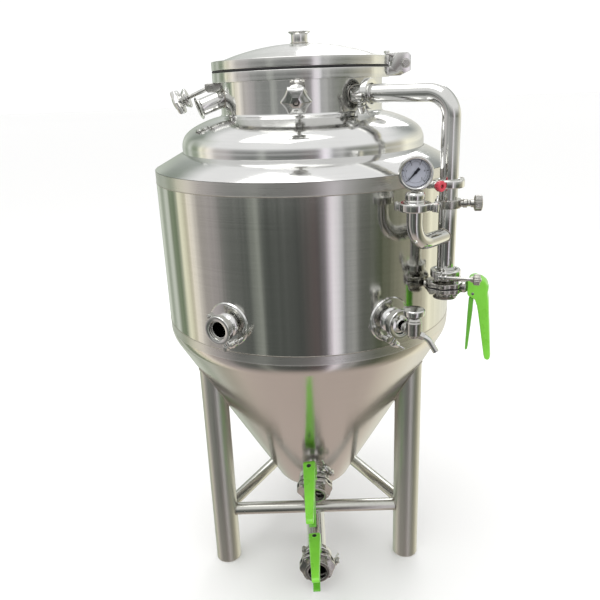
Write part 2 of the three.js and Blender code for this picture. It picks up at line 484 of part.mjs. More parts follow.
// ------------------------------------------------------------ racking valve
add('racking_port', rackPort, M.polished);
{
  const up = V(0, -Math.sin(rad(20)), Math.cos(rad(20)));
  const stem = up.clone().multiplyScalar(Math.cos(rad(8))).add(V(-Math.sin(rad(8)), 0, 0));
  const g = frame(RACK, rackDir, stem);
  add('racking_valve_body', valveBody(OUTLET_R, OUTLET_RI, OUTLET_FR, 46), M.satin, g);
  add('racking_valve_disc', valveDisc(OUTLET_RI), M.polished, g);
  add('racking_valve_handle', lever(), M.green, g);
  add('racking_valve_trigger', trigger(), M.green, g);
}

// ---------------------------------------------------------------- bottom outlet
const OUT_Z = 67.5, OUT_Y = -269;
{
  const y1 = OUT_Y + BFLY_L + 0.6;
  let p = tube([V(0, 0, 159.6), V(0, 0, OUT_Z), V(0, y1 + 3, OUT_Z)], 60, OUTLET_R, OUTLET_RI, MED, 5);
  p = join(p, at(ferrule(OUTLET_R, OUTLET_RI, OUTLET_FR), V(0, y1, OUT_Z), V(0, -1, 0)), ring(33, OUTLET_R - 0.5, 133, 147));
  add('outlet_pipe', p, M.polished);
  const gc = frame(V(0, OUT_Y + BFLY_L + 0.3, OUT_Z), V(0, -1, 0), V(0.8, 0, -0.6));
  add('outlet_clamp', clamp(OUTLET_R, OUTLET_FR, 30), M.polished, gc);
  add('outlet_nut', wingNut(), M.polished, frame(V(OUTLET_FR + 16, 9.6, 0), V(0, 1, 0), V(0, 0, 1), gc));
  const g = frame(V(0, OUT_Y, OUT_Z), V(0, -1, 0), V(-Math.sin(rad(3)), 0, Math.cos(rad(3))));
  add('outlet_valve_body', valveBody(OUTLET_R, OUTLET_RI, OUTLET_FR, 46), M.satin, g);
  add('outlet_valve_disc', valveDisc(OUTLET_RI), M.polished, g);
  add('outlet_valve_handle', lever(), M.green, g);
  add('outlet_valve_trigger', trigger(), M.green, g);
}

// ------------------------------------------- origin at the box's bottom centre
model.updateMatrixWorld(true);
const box = new THREE.Box3().setFromObject(model, true);
const fermenter = new THREE.Group();
fermenter.position.set(-(box.min.x + box.max.x) / 2, -(box.min.y + box.max.y) / 2, -box.min.z);
fermenter.add(model);

export default fermenter;
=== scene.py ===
# Jacketed conical fermenter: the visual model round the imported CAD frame.
import bpy, bmesh, math, json
from mathutils import Vector, Matrix


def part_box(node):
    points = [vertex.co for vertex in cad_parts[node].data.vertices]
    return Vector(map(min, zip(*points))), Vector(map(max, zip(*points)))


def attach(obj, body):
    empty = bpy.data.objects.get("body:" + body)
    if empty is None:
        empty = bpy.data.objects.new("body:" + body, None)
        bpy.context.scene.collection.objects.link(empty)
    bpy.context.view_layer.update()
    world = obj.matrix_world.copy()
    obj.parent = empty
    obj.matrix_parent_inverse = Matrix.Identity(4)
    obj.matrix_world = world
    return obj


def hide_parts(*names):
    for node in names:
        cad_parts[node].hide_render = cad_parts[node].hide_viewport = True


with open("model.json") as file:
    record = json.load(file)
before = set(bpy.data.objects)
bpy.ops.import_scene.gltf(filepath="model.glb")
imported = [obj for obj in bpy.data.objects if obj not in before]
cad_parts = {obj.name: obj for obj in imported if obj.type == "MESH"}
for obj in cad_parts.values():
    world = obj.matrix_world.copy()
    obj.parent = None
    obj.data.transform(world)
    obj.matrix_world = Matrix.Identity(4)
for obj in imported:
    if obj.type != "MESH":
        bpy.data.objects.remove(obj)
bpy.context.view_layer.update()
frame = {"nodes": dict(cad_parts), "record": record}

_lo, _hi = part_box("jacket_shell")
AX, AY = (_lo.x + _hi.x) * 500, (_lo.y + _hi.y) * 500     # tank axis, mm
K = 0.001
BODY = {}
for _b, _ns in frame["record"]["behaviour"]["bodies"].items():
    for _n in _ns:
        BODY[_n] = _b


def V(x, y, z):
    return Vector((x, y, z))


def rad(d):
    return math.radians(d)


def out(a, e=0.0):
    return V(math.sin(rad(a)) * math.cos(rad(e)), -math.cos(rad(a)) * math.cos(rad(e)), math.sin(rad(e)))


# ------------------------------------------------------------------ materials
def nodes_of(name):
    m = bpy.data.materials.new(name)
    m.use_nodes = True
    nt = m.node_tree
    b = nt.nodes["Principled BSDF"]
    return m, nt, b


def N(nt, kind, **kw):
    n = nt.nodes.new(kind)
    for k, v in kw.items():
        setattr(n, k, v)
    return n


def math_node(nt, op, a, b=None):
    n = N(nt, "ShaderNodeMath", operation=op)
    for i, v in enumerate((a, b)):
        if v is None:
            continue
        if isinstance(v, (int, float)):
            n.inputs[i].default_value = v
        else:
            nt.links.new(v, n.inputs[i])
    return n.outputs[0]


def ramp(nt, fac, stops):
    r = N(nt, "ShaderNodeValToRGB")
    e = r.color_ramp.elements
    while len(e) > 1:
        e.remove(e[-1])
    e[0].position, e[0].color = stops[0][0], (*stops[0][1], 1)
    for p, c in stops[1:]:
        x = e.new(p)
        x.color = (*c, 1)
    nt.links.new(fac, r.inputs[0])
    return r.outputs[0]


def grey(v):
    return (v, v, v)


def mapping(nt, brush, scale):
    """coordinates for the grain: round the tank, along one axis, or even"""
    tc = N(nt, "ShaderNodeTexCoord")
    if brush == "circ":
        s = N(nt, "ShaderNodeSeparateXYZ")
        nt.links.new(tc.outputs["Object"], s.inputs[0])
        x = math_node(nt, "SUBTRACT", s.outputs[0], AX * K)
        y = math_node(nt, "SUBTRACT", s.outputs[1], AY * K)
        ang = math_node(nt, "ARCTAN2", x, math_node(nt, "MULTIPLY", y, -1.0))
        c = N(nt, "ShaderNodeCombineXYZ")
        nt.links.new(math_node(nt, "MULTIPLY", ang, 0.36 * scale[0]), c.inputs[0])
        nt.links.new(math_node(nt, "MULTIPLY", s.outputs[2], scale[2]), c.inputs[2])
        return c.outputs[0]
    mp = N(nt, "ShaderNodeMapping")
    mp.inputs["Scale"].default_value = scale
    nt.links.new(tc.outputs["Object"], mp.inputs[0])
    return mp.outputs[0]


def steel(name, color, rough, spread=0.06, brush="even", fine=(300, 300, 300), broad=(14, 14, 14), bump=0.05, wave=0.0, aniso=0.0, tint=0.06, dirt=0.0):
    m, nt, b = nodes_of(name)
    L = nt.links
    b.inputs["Metallic"].default_value = 1.0
    b.inputs["Anisotropic"].default_value = aniso
    if aniso:
        b.inputs["Anisotropic Rotation"].default_value = 0.25
        t = N(nt, "ShaderNodeTangent", direction_type="RADIAL", axis="Z")
        L.new(t.outputs[0], b.inputs["Tangent"])
    nf = N(nt, "ShaderNodeTexNoise"); nf.inputs["Scale"].default_value = 1.0; nf.inputs["Detail"].default_value = 3.0
    L.new(mapping(nt, brush, fine), nf.inputs["Vector"])
    nb = N(nt, "ShaderNodeTexNoise"); nb.inputs["Scale"].default_value = 1.0; nb.inputs["Detail"].default_value = 4.0
    L.new(mapping(nt, brush, broad), nb.inputs["Vector"])
    c0 = [max(0, c * (1 - tint)) for c in color]
    c1 = [min(1, c * (1 + tint * 0.7)) for c in color]
    mix = math_node(nt, "ADD", math_node(nt, "MULTIPLY", nf.outputs[0], 0.45), math_node(nt, "MULTIPLY", nb.outputs[0], 0.55))
    col = ramp(nt, mix, [(0.32, c0), (0.5, color), (0.68, c1)])
    if dirt:
        nd = N(nt, "ShaderNodeTexNoise"); nd.inputs["Scale"].default_value = 9.0; nd.inputs["Detail"].default_value = 6.0
        tc = N(nt, "ShaderNodeTexCoord"); L.new(tc.outputs["Object"], nd.inputs["Vector"])
        mx = N(nt, "ShaderNodeMix", data_type="RGBA", blend_type="MULTIPLY")
        L.new(ramp(nt, nd.outputs[0], [(0.35, grey(0)), (0.75, grey(dirt))]), mx.inputs["Factor"])
        L.new(col, mx.inputs[6]); mx.inputs[7].default_value = (0.62, 0.55, 0.46, 1)
        col = mx.outputs[2]
    L.new(col, b.inputs["Base Color"])
    L.new(ramp(nt, mix, [(0.3, grey(max(0.02, rough - spread))), (0.7, grey(rough + spread))]), b.inputs["Roughness"])
    bp = N(nt, "ShaderNodeBump"); bp.inputs["Strength"].default_value = bump; bp.inputs["Distance"].default_value = 0.0006
    L.new(nf.outputs[0], bp.inputs["Height"])
    last = bp
    if wave:
        nw = N(nt, "ShaderNodeTexNoise"); nw.inputs["Scale"].default_value = 1.0; nw.inputs["Detail"].default_value = 2.6
        L.new(mapping(nt, "circ", (11, 0, 0.35)), nw.inputs["Vector"])
        b2 = N(nt, "ShaderNodeBump"); b2.inputs["Strength"].default_value = wave; b2.inputs["Distance"].default_value = 0.004
        L.new(nw.outputs[0], b2.inputs["Height"])
        L.new(bp.outputs[0], b2.inputs["Normal"])
        last = b2
    L.new(last.outputs[0], b.inputs["Normal"])
    return m


def plastic(name, color, rough, spread=0.08, tint=0.12, scale=60, bump=0.08, metallic=0.0, coat=0.0):
    m, nt, b = nodes_of(name)
    L = nt.links
    b.inputs["Metallic"].default_value = metallic
    b.inputs["Coat Weight"].default_value = coat
    b.inputs["Coat Roughness"].default_value = 0.12
    tc = N(nt, "ShaderNodeTexCoord")
    n1 = N(nt, "ShaderNodeTexNoise"); n1.inputs["Scale"].default_value = scale; n1.inputs["Detail"].default_value = 5
    n2 = N(nt, "ShaderNodeTexNoise"); n2.inputs["Scale"].default_value = scale * 14; n2.inputs["Detail"].default_value = 2
    L.new(tc.outputs["Object"], n1.inputs["Vector"]); L.new(tc.outputs["Object"], n2.inputs["Vector"])
    c0 = [c * (1 - tint) for c in color]
    c1 = [min(1, c * (1 + tint)) for c in color]
    L.new(ramp(nt, n1.outputs[0], [(0.3, c0), (0.52, color), (0.72, c1)]), b.inputs["Base Color"])
    L.new(ramp(nt, n1.outputs[0], [(0.3, grey(max(0.03, rough - spread))), (0.7, grey(rough + spread))]), b.inputs["Roughness"])
    bp = N(nt, "ShaderNodeBump"); bp.inputs["Strength"].default_value = bump; bp.inputs["Distance"].default_value = 0.0004
    L.new(n2.outputs[0], bp.inputs["Height"]); L.new(bp.outputs[0], b.inputs["Normal"])
    return m


STEEL = (0.60, 0.60, 0.575)
MAT = {
    "shell": steel("steel_shell", (0.58, 0.58, 0.55), 0.115, 0.035, "circ", (3.0, 0, 900), (60, 0, 0.8), 0.06, wave=0.34, aniso=0.8, tint=0.13),
    "band": steel("steel_band", (0.60, 0.59, 0.57), 0.30, 0.06, "circ", (3.0, 0, 1100), (10, 0, 20), 0.16, wave=0.10, aniso=0.5, tint=0.08),
    "cone": steel("steel_cone", (0.60, 0.575, 0.545), 0.19, 0.05, "circ", (4.0, 0, 700), (8, 0, 2.5), 0.05, wave=0.06, aniso=0.4, tint=0.05),
    "dome": steel("steel_dome", (0.74, 0.74, 0.73), 0.13, 0.05, "circ", (6.0, 0, 600), (9, 0, 9), 0.06, wave=0.06, aniso=0.3, tint=0.05),
    "neck": steel("steel_neck", (0.66, 0.66, 0.64), 0.13, 0.05, "circ", (3.0, 0, 900), (30, 0, 2), 0.08, wave=0.30, aniso=0.5, tint=0.08),
    "lid": steel("steel_lid", (0.66, 0.66, 0.64), 0.17, 0.05, "circ", (8.0, 0, 500), (14, 0, 10), 0.08, wave=0.12, aniso=0.35, tint=0.08),
    "polish": steel("steel_polished", (0.66, 0.66, 0.64), 0.09, 0.04, "even", (420, 420, 420), (22, 22, 22), 0.04, tint=0.07),
    "cast": steel("steel_cast", (0.52, 0.515, 0.49), 0.2, 0.08, "even", (520, 520, 520), (40, 40, 40), 0.22, tint=0.14, dirt=0.35),
    "leg": steel("steel_leg", (0.62, 0.62, 0.575), 0.40, 0.06, "even", (260, 260, 7), (9, 9, 2), 0.06, tint=0.06),
    "brace": steel("steel_brace", (0.56, 0.56, 0.52), 0.24, 0.05, "even", (120, 120, 120), (8, 8, 8), 0.02, tint=0.05),
    "weld": steel("steel_weld", (0.50, 0.48, 0.44), 0.38, 0.1, "even", (700, 700, 700), (90, 90, 90), 0.6, tint=0.2, dirt=0.6),
    "bolt": steel("steel_bolt", (0.58, 0.575, 0.55), 0.24, 0.06, "even", (600, 600, 600), (60, 60, 60), 0.2, tint=0.1),
    "green": plastic("grip_green", (0.20, 0.62, 0.045), 0.30, 0.08, 0.10, 22, 0.10, coat=0.35),
    # darker copy of the grip green: painted shade, used for the trigger that lies beneath the lever
    "green_dark": plastic("grip_green_painted_shade", (0.12, 0.42, 0.03), 0.34, 0.08, 0.10, 22, 0.10, coat=0.3),
    "rubber": plastic("gasket_black", (0.012, 0.012, 0.013), 0.55, 0.12, 0.3, 40, 0.3),
    # near-black disc material: painted shade standing in for the hole in the grip's hub end
    "hole": plastic("bolt_black", (0.015, 0.015, 0.016), 0.45, 0.1, 0.3, 80, 0.2),
    "red": plastic("knob_red", (0.62, 0.05, 0.08), 0.33, 0.08, 0.15, 60, 0.1, coat=0.3),
    "dial": plastic("dial_white", (0.86, 0.855, 0.92), 0.5, 0.05, 0.03, 30, 0.03),
    "ink": plastic("dial_ink", (0.02, 0.02, 0.03), 0.5, 0.05, 0.1, 100, 0.05),
    "foam": plastic("foam_yellow", (0.7, 0.56, 0.3), 0.85, 0.08, 0.15, 120, 0.5),
}
_g, _nt, _b = nodes_of("gauge_glass")
_b.inputs["Base Color"].default_value = (0.95, 0.97, 1.0, 1)
_b.inputs["Transmission Weight"].default_value = 1.0
_b.inputs["IOR"].default_value = 1.05
_n = N(_nt, "ShaderNodeTexNoise"); _n.inputs["Scale"].default_value = 60
_nt.links.new(ramp(_nt, _n.outputs[0], [(0.3, grey(0.02)), (0.8, grey(0.06))]), _b.inputs["Roughness"])
MAT["glass"] = _g


# ------------------------------------------------------------- mesh functions
def fillet(points, r, n=3, closed=True):
    """round the corners of a 2-D outline by radius r"""
    p = [Vector(q) for q in points]
    m = len(p)
    res = []
    for i in range(m):
        if not closed and i in (0, m - 1):
            res.append(tuple(p[i])); continue
        a, b, c = p[i - 1], p[i], p[(i + 1) % m]
        u, w = (a - b), (c - b)
        lu, lw = u.length, w.length
        if lu < 1e-6 or lw < 1e-6:
            continue
        u /= lu; w /= lw
        dot = max(-1, min(1, u.dot(w)))
        ang = math.acos(dot)
        if ang > math.radians(172) or abs(b.x) < 1e-6:
            res.append(tuple(b)); continue
        t = min(r / math.tan(ang / 2), lu * 0.45, lw * 0.45)
        rr = t * math.tan(ang / 2)
        cen = b + (u + w).normalized() * (rr / math.sin(ang / 2))
        s, e = b + u * t - cen, b + w * t - cen
        full = s.angle(e)
        side = 1 if (s.x * e.y - s.y * e.x) > 0 else -1
        for k in range(n + 1):
            q = side * full * k / n
            res.append((cen.x + s.x * math.cos(q) - s.y * math.sin(q), cen.y + s.x * math.sin(q) + s.y * math.cos(q)))
    return res


def smooth_line(points, per=6):
    """Catmull-Rom through an open line of points"""
    p = [Vector(q) for q in points]
    res = []
    for i in range(len(p) - 1):
        a = p[i - 1] if i else p[i] * 2 - p[i + 1]
        b, c = p[i], p[i + 1]
        d = p[i + 2] if i + 2 < len(p) else c * 2 - b
        for k in range(per):
            t = k / per
            res.append(tuple(0.5 * ((2 * b) + (c - a) * t + (2 * a - 5 * b + 4 * c - d) * t * t + (3 * b - a - 3 * c + d) * t ** 3)))
    res.append(tuple(p[-1]))
    return res


def lathe(profile, seg=64, r=0.0, n=3, radial=None):
    """revolve [radius, height] about Z; radial(angle, radius, z) may change the radius"""
    axis = abs(profile[0][0]) < 1e-9 and abs(profile[-1][0]) < 1e-9
    prof = fillet(profile, r, n, closed=not axis) if r else list(profile)
    vs, fs, rows = [], [], []
    for (x, z) in prof:
        if abs(x) < 1e-9:
            rows.append([len(vs)]); vs.append(V(0, 0, z)); continue
        row = []
        for i in range(seg):
            a = 2 * math.pi * i / seg
            q = radial(a, x, z) if radial else x
            row.append(len(vs)); vs.append(V(q * math.cos(a), q * math.sin(a), z))
        rows.append(row)
    m = len(rows)
    for i in range(m if not axis else m - 1):
        a, b = rows[i], rows[(i + 1) % m]
        for k in range(seg):
            k2 = (k + 1) % seg
            if len(a) == 1 and len(b) == 1:
                continue
            if len(a) == 1:
                fs.append((a[0], b[k2], b[k]))
            elif len(b) == 1:
                fs.append((a[k], a[k2], b[0]))
            else:
                fs.append((a[k], a[k2], b[k2], b[k]))
    return [vs, fs]


def cyl(ra, z0, z1, seg=32, r=0.6):
    return lathe([(0, z0), (ra, z0), (ra, z1), (0, z1)], seg, r)


def ring(ro, ri, z0, z1, seg=64, r=0.6):
    return lathe([(ri, z0), (ro, z0), (ro, z1), (ri, z1)], seg, r)


def plate(points, y0, y1, bevel=1.0, seg=3, taper=None):
    """extrude an outline in the X-Z plane from y0 to y1, with rounded edges"""
    bm = bmesh.new()
    lo = [bm.verts.new((x, y0, z)) for x, z in points]
    hi = [bm.verts.new((x, y1, z)) for x, z in points]
    m = len(points)
    bm.faces.new(lo); bm.faces.new(list(reversed(hi)))
    for i in range(m):
        bm.faces.new((lo[i], hi[i], hi[(i + 1) % m], lo[(i + 1) % m]))
    bmesh.ops.recalc_face_normals(bm, faces=bm.faces)
    if bevel:
        rim = [e for e in bm.edges if abs(e.verts[0].co.y - e.verts[1].co.y) < 1e-6]
        bmesh.ops.bevel(bm, geom=rim, offset=bevel, segments=seg, profile=0.5, affect="EDGES", clamp_overlap=True)
    bm.verts.index_update()
    vs = [v.co.copy() for v in bm.verts]
    if taper:
        vs = [taper(v) for v in vs]
    fs = [tuple(v.index for v in f.verts) for f in bm.faces]
    bm.free()
    return [vs, fs]


def block(x0, x1, y0, y1, z0, z1, bevel=1.0):
    return plate([(x0, z0), (x1, z0), (x1, z1), (x0, z1)], y0, y1, bevel)


def hexa(ra, z0, z1, r=0.5):
    return lathe([(0, z0), (ra, z0), (ra, z1 - 0.8), (ra * 0.9, z1), (0, z1)], 6)


def basis(d, ref):
    z = d.normalized()
    x = (ref - z * ref.dot(z)).normalized()
    y = z.cross(x)
    return Matrix((x, y, z)).transposed()


def at(mesh, origin, d=None, ref=None):
    d = d or V(0, 0, 1)
    ref = ref or (V(1, 0, 0) if abs(d.z) > 0.9 else V(0, 0, 1))
    b = basis(d, ref)
    return [[b @ v + origin for v in mesh[0]], mesh[1]]


def merge(*ms):
    vs, fs = [], []
    for m in ms:
        k = len(vs)
        vs += m[0]
        fs += [tuple(i + k for i in f) for f in m[1]]
    return [vs, fs]


def route(points, bend, steps=14, sub=1):
    pts, tan = [], []
    m = len(points)
    for i in range(m):
        if i in (0, m - 1):
            t = (points[1] - points[0]) if i == 0 else (points[i] - points[i - 1])
            pts.append(points[i].copy()); tan.append(t.normalized()); continue
        a = (points[i] - points[i - 1]).normalized()
        b = (points[i + 1] - points[i]).normalized()
        ang = a.angle(b)
        st = points[i] - a * bend * math.tan(ang / 2)
        side = (b - a * b.dot(a)).normalized()
        cen = st + side * bend
        for k in range(steps + 1):
            q = ang * k / steps
            pts.append(cen - side * bend * math.cos(q) + a * bend * math.sin(q))
            tan.append((a * math.cos(q) + side * math.sin(q)).normalized())
    return pts, tan


def tube(points, bend, ro, ri=0.0, seg=40, steps=14, closed=False):
    if closed:
        pts = points
        m = len(pts)
        tan = [(pts[(i + 1) % m] - pts[i - 1]).normalized() for i in range(m)]
    else:
        pts, tan = route(points, bend, steps)
    m = len(pts)
    up = V(0, 0, 1) if abs(tan[0].z) < 0.9 else V(1, 0, 0)
    x = (up - tan[0] * up.dot(tan[0])).normalized()
    vs, fs, rows, rowsi = [], [], [], []
    for p, t in zip(pts, tan):
        x = (x - t * x.dot(t)).normalized()
        y = t.cross(x)
        rows.append(range(len(vs), len(vs) + seg))
        for i in range(seg):
            a = 2 * math.pi * i / seg
            vs.append(p + x * (ro * math.cos(a)) + y * (ro * math.sin(a)))
    if ri:
        x = (up - tan[0] * up.dot(tan[0])).normalized()
        for p, t in zip(pts, tan):
            x = (x - t * x.dot(t)).normalized()
            y = t.cross(x)
            rowsi.append(range(len(vs), len(vs) + seg))
            for i in range(seg):
                a = 2 * math.pi * i / seg
                vs.append(p + x * (ri * math.cos(a)) + y * (ri * math.sin(a)))
    for i in range(m if closed else m - 1):
        a, b = rows[i], rows[(i + 1) % m]
        for k in range(seg):
            k2 = (k + 1) % seg
            fs.append((a[k], a[k2], b[k2], b[k]))
            if ri:
                c, d = rowsi[i], rowsi[(i + 1) % m]
                fs.append((c[k], d[k], d[k2], c[k2]))
    if not closed:
        if ri:
            for k in range(seg):
                k2 = (k + 1) % seg
                fs.append((rows[0][k], rowsi[0][k], rowsi[0][k2], rows[0][k2]))
                fs.append((rows[-1][k], rows[-1][k2], rowsi[-1][k2], rowsi[-1][k]))
        else:
            fs.append(tuple(reversed(list(rows[0])))); fs.append(tuple(rows[-1]))
    return [vs, fs]


def make(name, meshes, node=None, body=None, sharp=38, mats=None):
    """one object from [(mesh, material), ...]; node names the CAD node(s) it stands for"""
    ns = [node] if isinstance(node, str) else list(node or [])
    if not isinstance(meshes, list) or (meshes and isinstance(meshes[0], list) and len(meshes) == 2 and isinstance(meshes[0][0], Vector)):
        meshes = [(meshes, mats)]
    order, vs, fs, mi = [], [], [], []
    for mesh, mat in meshes:
        if mat not in order:
            order.append(mat)
        k = len(vs)
        vs += [((v.x + AX) * K, (v.y + AY) * K, v.z * K) for v in mesh[0]]
        fs += [tuple(i + k for i in f) for f in mesh[1]]
        mi += [order.index(mat)] * len(mesh[1])
    me = bpy.data.meshes.new(name)
    me.from_pydata(vs, [], fs)
    me.polygons.foreach_set("material_index", mi)
    for k in order:
        me.materials.append(MAT[k])
    bm = bmesh.new(); bm.from_mesh(me)
    bmesh.ops.recalc_face_normals(bm, faces=bm.faces)
    bm.to_mesh(me); bm.free()
    me.shade_smooth()
    me.set_sharp_from_angle(angle=math.radians(sharp))
    o = bpy.data.objects.new(name, me)
    bpy.context.scene.collection.objects.link(o)
    if ns:
        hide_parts(*ns)
    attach(o, body or BODY[ns[0]])
    return o


# ------------------------------------------------------- dimensions (mm, as CAD)
JR, ZC, ZS = 360.0, 657.0, 1062.0
CR0, CZ0 = 100.7, 191.0
CK = (JR - CR0) / (ZC - CZ0)
KN = 60.0
half = math.atan(CK) / 2
TR, NR = 291.0, 192.0
FL = 208.4
PR, PI_, FR = 19.05, 17.5, 25.25
OR_, OI, OF = 25.5, 23.7, 32.0
PORT_Z, PORT_AZ, PORT_FACE = 756.0, 29.0, 394.0
ARM = (300.0, -272.0)
A0 = V(118, -151, 1218)
GA = (215.5, -358.0)
ZMID, ZV, ZTEE, ZBOSS, ZGC = 1037.0, 816.0, 928.0, 995.0, 1007.0
BL = 28.0
BIGS = 224


def knuckle(R, n=10):
    tl = KN * math.tan(half)
    return [(JR - KN + R * math.cos(-2 * half * (1 - i / n)), ZC + tl + R * math.sin(-2 * half * (1 - i / n))) for i in range(n + 1)]


ZSH0 = ZC + KN * math.tan(half) + 0.4


def seam(r, z, w=0.9):
    return ring(r + w * 0.5, r - 0.6, z - 1.1, z + 1.1, BIGS, 0.5)


# --------------------------------------------------------------- tank shells
make("jacket_wall", [(lathe([(JR, 693.3), (JR, 1033.7), (JR - 3, 1033.7), (JR - 3, 693.3)], BIGS), "shell")], "jacket_shell", sharp=30)
make("jacket_bands", [(lathe([(JR, ZSH0), (JR, 693), (JR - 3, 693), (JR - 3, ZSH0)], BIGS), "band"),
                      (lathe([(JR, 1034), (JR, 1061.6), (JR - 3, 1061.6), (JR - 3, 1034)], BIGS), "band"),
                      (seam(JR, 693.1), "weld"), (seam(JR, 1033.9), "weld")], None, body="tank", sharp=30)
conep = [(31, 176.5), (62, 177.4), (78, 179.6), (88, 183.2), (95.5, 187.6), (100.6, 193.6), (103.6, 199.5)] + knuckle(KN) + list(reversed(knuckle(KN - 3))) + [(100.6, 200.5), (97, 195.4), (86, 187), (70, 182), (31, 179.6)]
make("jacket_bottom_cone", [(lathe(conep, BIGS), "cone"), (seam(JR - 0.2, ZSH0 - 0.3, 0.7), "band")], "jacket_cone", sharp=30)
make("shoulder", [(lathe(fillet([(JR - 3, ZS), (JR, ZS), (TR + 0.4, 1098), (TR + 0.4, 1094.4)], 1.0, 3), BIGS), "dome")], "shoulder_ring", sharp=30)
domeline = smooth_line([(TR, 1098), (TR, 1113), (288.6, 1124.6), (282.0, 1136.8), (268.5, 1148.6), (247, 1160), (219, 1170.6), (199.0, 1175.6), (193.0, 1180.0), (NR, 1187.5)], 5)
inner_dome = [(r - 3 * (0.5 if z > 1125 else 1), z - (3 if z > 1112 else 0)) for r, z in domeline]


def inner_z(r):
    return ZC - (293.6 - r) / CK


tank = [(25.5, 160), (25.5, inner_z(25.5)), (TR, inner_z(TR))] + domeline + [(NR, 1250.4), (NR - 3, 1250.4)] + list(reversed(inner_dome)) + [(TR - 3, inner_z(TR) + 1), (22.6, inner_z(22.6) + 6), (22.6, 160)]
i0 = 3
tmesh = lathe(tank, BIGS)


def ferrule(rt, ri, rf, seg=64):
    return lathe([(ri, 0), (rf, 0), (rf, -2.2), (rt + 1.5, -4.6), (rt, -7), (ri, -7)], seg, 0.7)


ad = V(ARM[0] - A0.x, ARM[1] - A0.y, 0).normalized()
aface = A0 + ad * 32
sd = out(-70, -19)
so = out(-70) * 191 + V(0, 0, 1218)
sface = so + sd * 62


def bead_on_cyl(origin, d, r, R, w=2.0, n=72, cx=0.0, cy=0.0):
    """weld bead where a tube of radius r along d meets a vertical cylinder R"""
    b = basis(d, V(0, 0, 1))
    pts = []
    for i in range(n):
        a = 2 * math.pi * i / n
        o = origin + b @ V(r * math.cos(a), r * math.sin(a), 0)
        # o + d*t on the cylinder: solve the nearer outward crossing
        ox, oy = o.x - cx, o.y - cy
        A = d.x ** 2 + d.y ** 2; B = 2 * (ox * d.x + oy * d.y); C = ox * ox + oy * oy - R * R
        disc = B * B - 4 * A * C
        t = (-B + math.sqrt(max(disc, 0))) / (2 * A)
        pts.append(o + d * t)
    return tube(pts, 0, w, 0, 10, closed=True)


def open_stub(origin, d, ln, back, rt=PR, ri=PI_, rf=FR):
    return merge(at(ring(rt, ri, -back, ln - 5, 64, 0.3), origin, d), at(ferrule(rt, ri, rf), origin + d * ln, d))


def split_faces(mesh, test):
    a, b = [], []
    for f in mesh[1]:
        c = sum((mesh[0][i] for i in f), V(0, 0, 0)) / len(f)
        (a if test(c) else b).append(f)
    return [mesh[0], a], [mesh[0], b]


def compact(mesh):
    used = sorted({i for f in mesh[1] for i in f})
    k = {u: j for j, u in enumerate(used)}
    return [[mesh[0][i] for i in used], [tuple(k[i] for i in f) for f in mesh[1]]]


up_part, low_part = split_faces(tmesh, lambda c: c.z > 1181)
make("tank_dome_and_neck", [(tmesh, "dome")], "inner_tank", sharp=30)
# the neck's own brushed skin is a separate finish: assign by height
_o = bpy.data.objects["tank_dome_and_neck"]
_o.data.materials.append(MAT["neck"])
for _p in _o.data.polygons:
    if _p.center.z > 1.183:
        _p.material_index = 1
make("neck_stubs", [(open_stub(A0, ad, 32, 3), "polish"), (open_stub(so, sd, 62, 3), "polish"),
                    (bead_on_cyl(A0 - ad * 60, ad, PR, NR, 1.6), "weld"), (bead_on_cyl(so - sd * 60, sd, PR, NR, 1.6), "weld")],
     None, body="tank")

# --------------------------------------------------- flange, gasket, lid hinge
LUGR, LUGZ = 217.0, 1243.0
LUGS = {"left": -90, "front": -2, "rear": 180}
HX, HZ = 246.0, 1280.0
fl = [(lathe([(NR - 3, 1251), (FL, 1251), (FL, 1272.9), (NR - 3, 1272.9)], BIGS, 1.4, 4), "neck")]
for a in LUGS.values():
    o = out(a)
    lug = merge(*[plate(fillet([(190, -12), (222, -12), (228, -4), (228, 8), (206, 9), (190, 9)], 3, 3), s0, s1, 0.8) for s0, s1 in ((-11, -6.2), (6.2, 11))])
    lug = merge(lug, at(cyl(3.5, -12, 12, 24), V(LUGR, 0, 0), V(0, 1, 0)), at(hexa(6.5, 11, 16), V(LUGR, 0, 0), V(0, 1, 0)), at(hexa(6.5, 11, 15), V(LUGR, 0, 0), V(0, -1, 0)))
    fl.append((at(lug, V(0, 0, LUGZ), V(0, 0, 1), o), "cast"))
EAR = fillet([(200, 1253), (234, 1253), (258, 1264), (258, 1297), (251, 1304), (226, 1304), (216, 1292), (212, 1274), (200, 1272.5)], 3, 3)
for s0, s1 in ((-19, -12), (12, 19)):
    fl.append((plate(EAR, s0, s1, 0.9), "polish"))
# the weld between neck and flange closes the seam
fl.append((lathe([(NR - 3.3, 1248.8), (NR - 0.8, 1248.8), (NR - 0.8, 1254), (NR - 3.3, 1254)], BIGS, 0.6), "neck"))
make("manway_flange", fl, "neck_flange", sharp=35)
make("manway_gasket", [(lathe([(186, 1273.3), (207.6, 1273.3), (208.2, 1275.1), (207.6, 1276.9), (186, 1276.9)], BIGS, 0.4), "rubber")], "lid_gasket")
pin = merge(cyl(4.9, -24, 24, 32), hexa(9.5, 19.4, 24.5), at(hexa(9.5, 19.4, 25), V(0, 0, 0), V(0, 0, -1)), ring(11, 5, 19.1, 20.2, 40, 0.2), at(ring(11, 5, 19.1, 20.2, 40, 0.2), V(0, 0, 0), V(0, 0, -1)))
make("hinge_pin", [(at(pin, V(HX, 0, HZ), V(0, 1, 0), V(1, 0, 0)), "bolt")], "lid_hinge_pin")

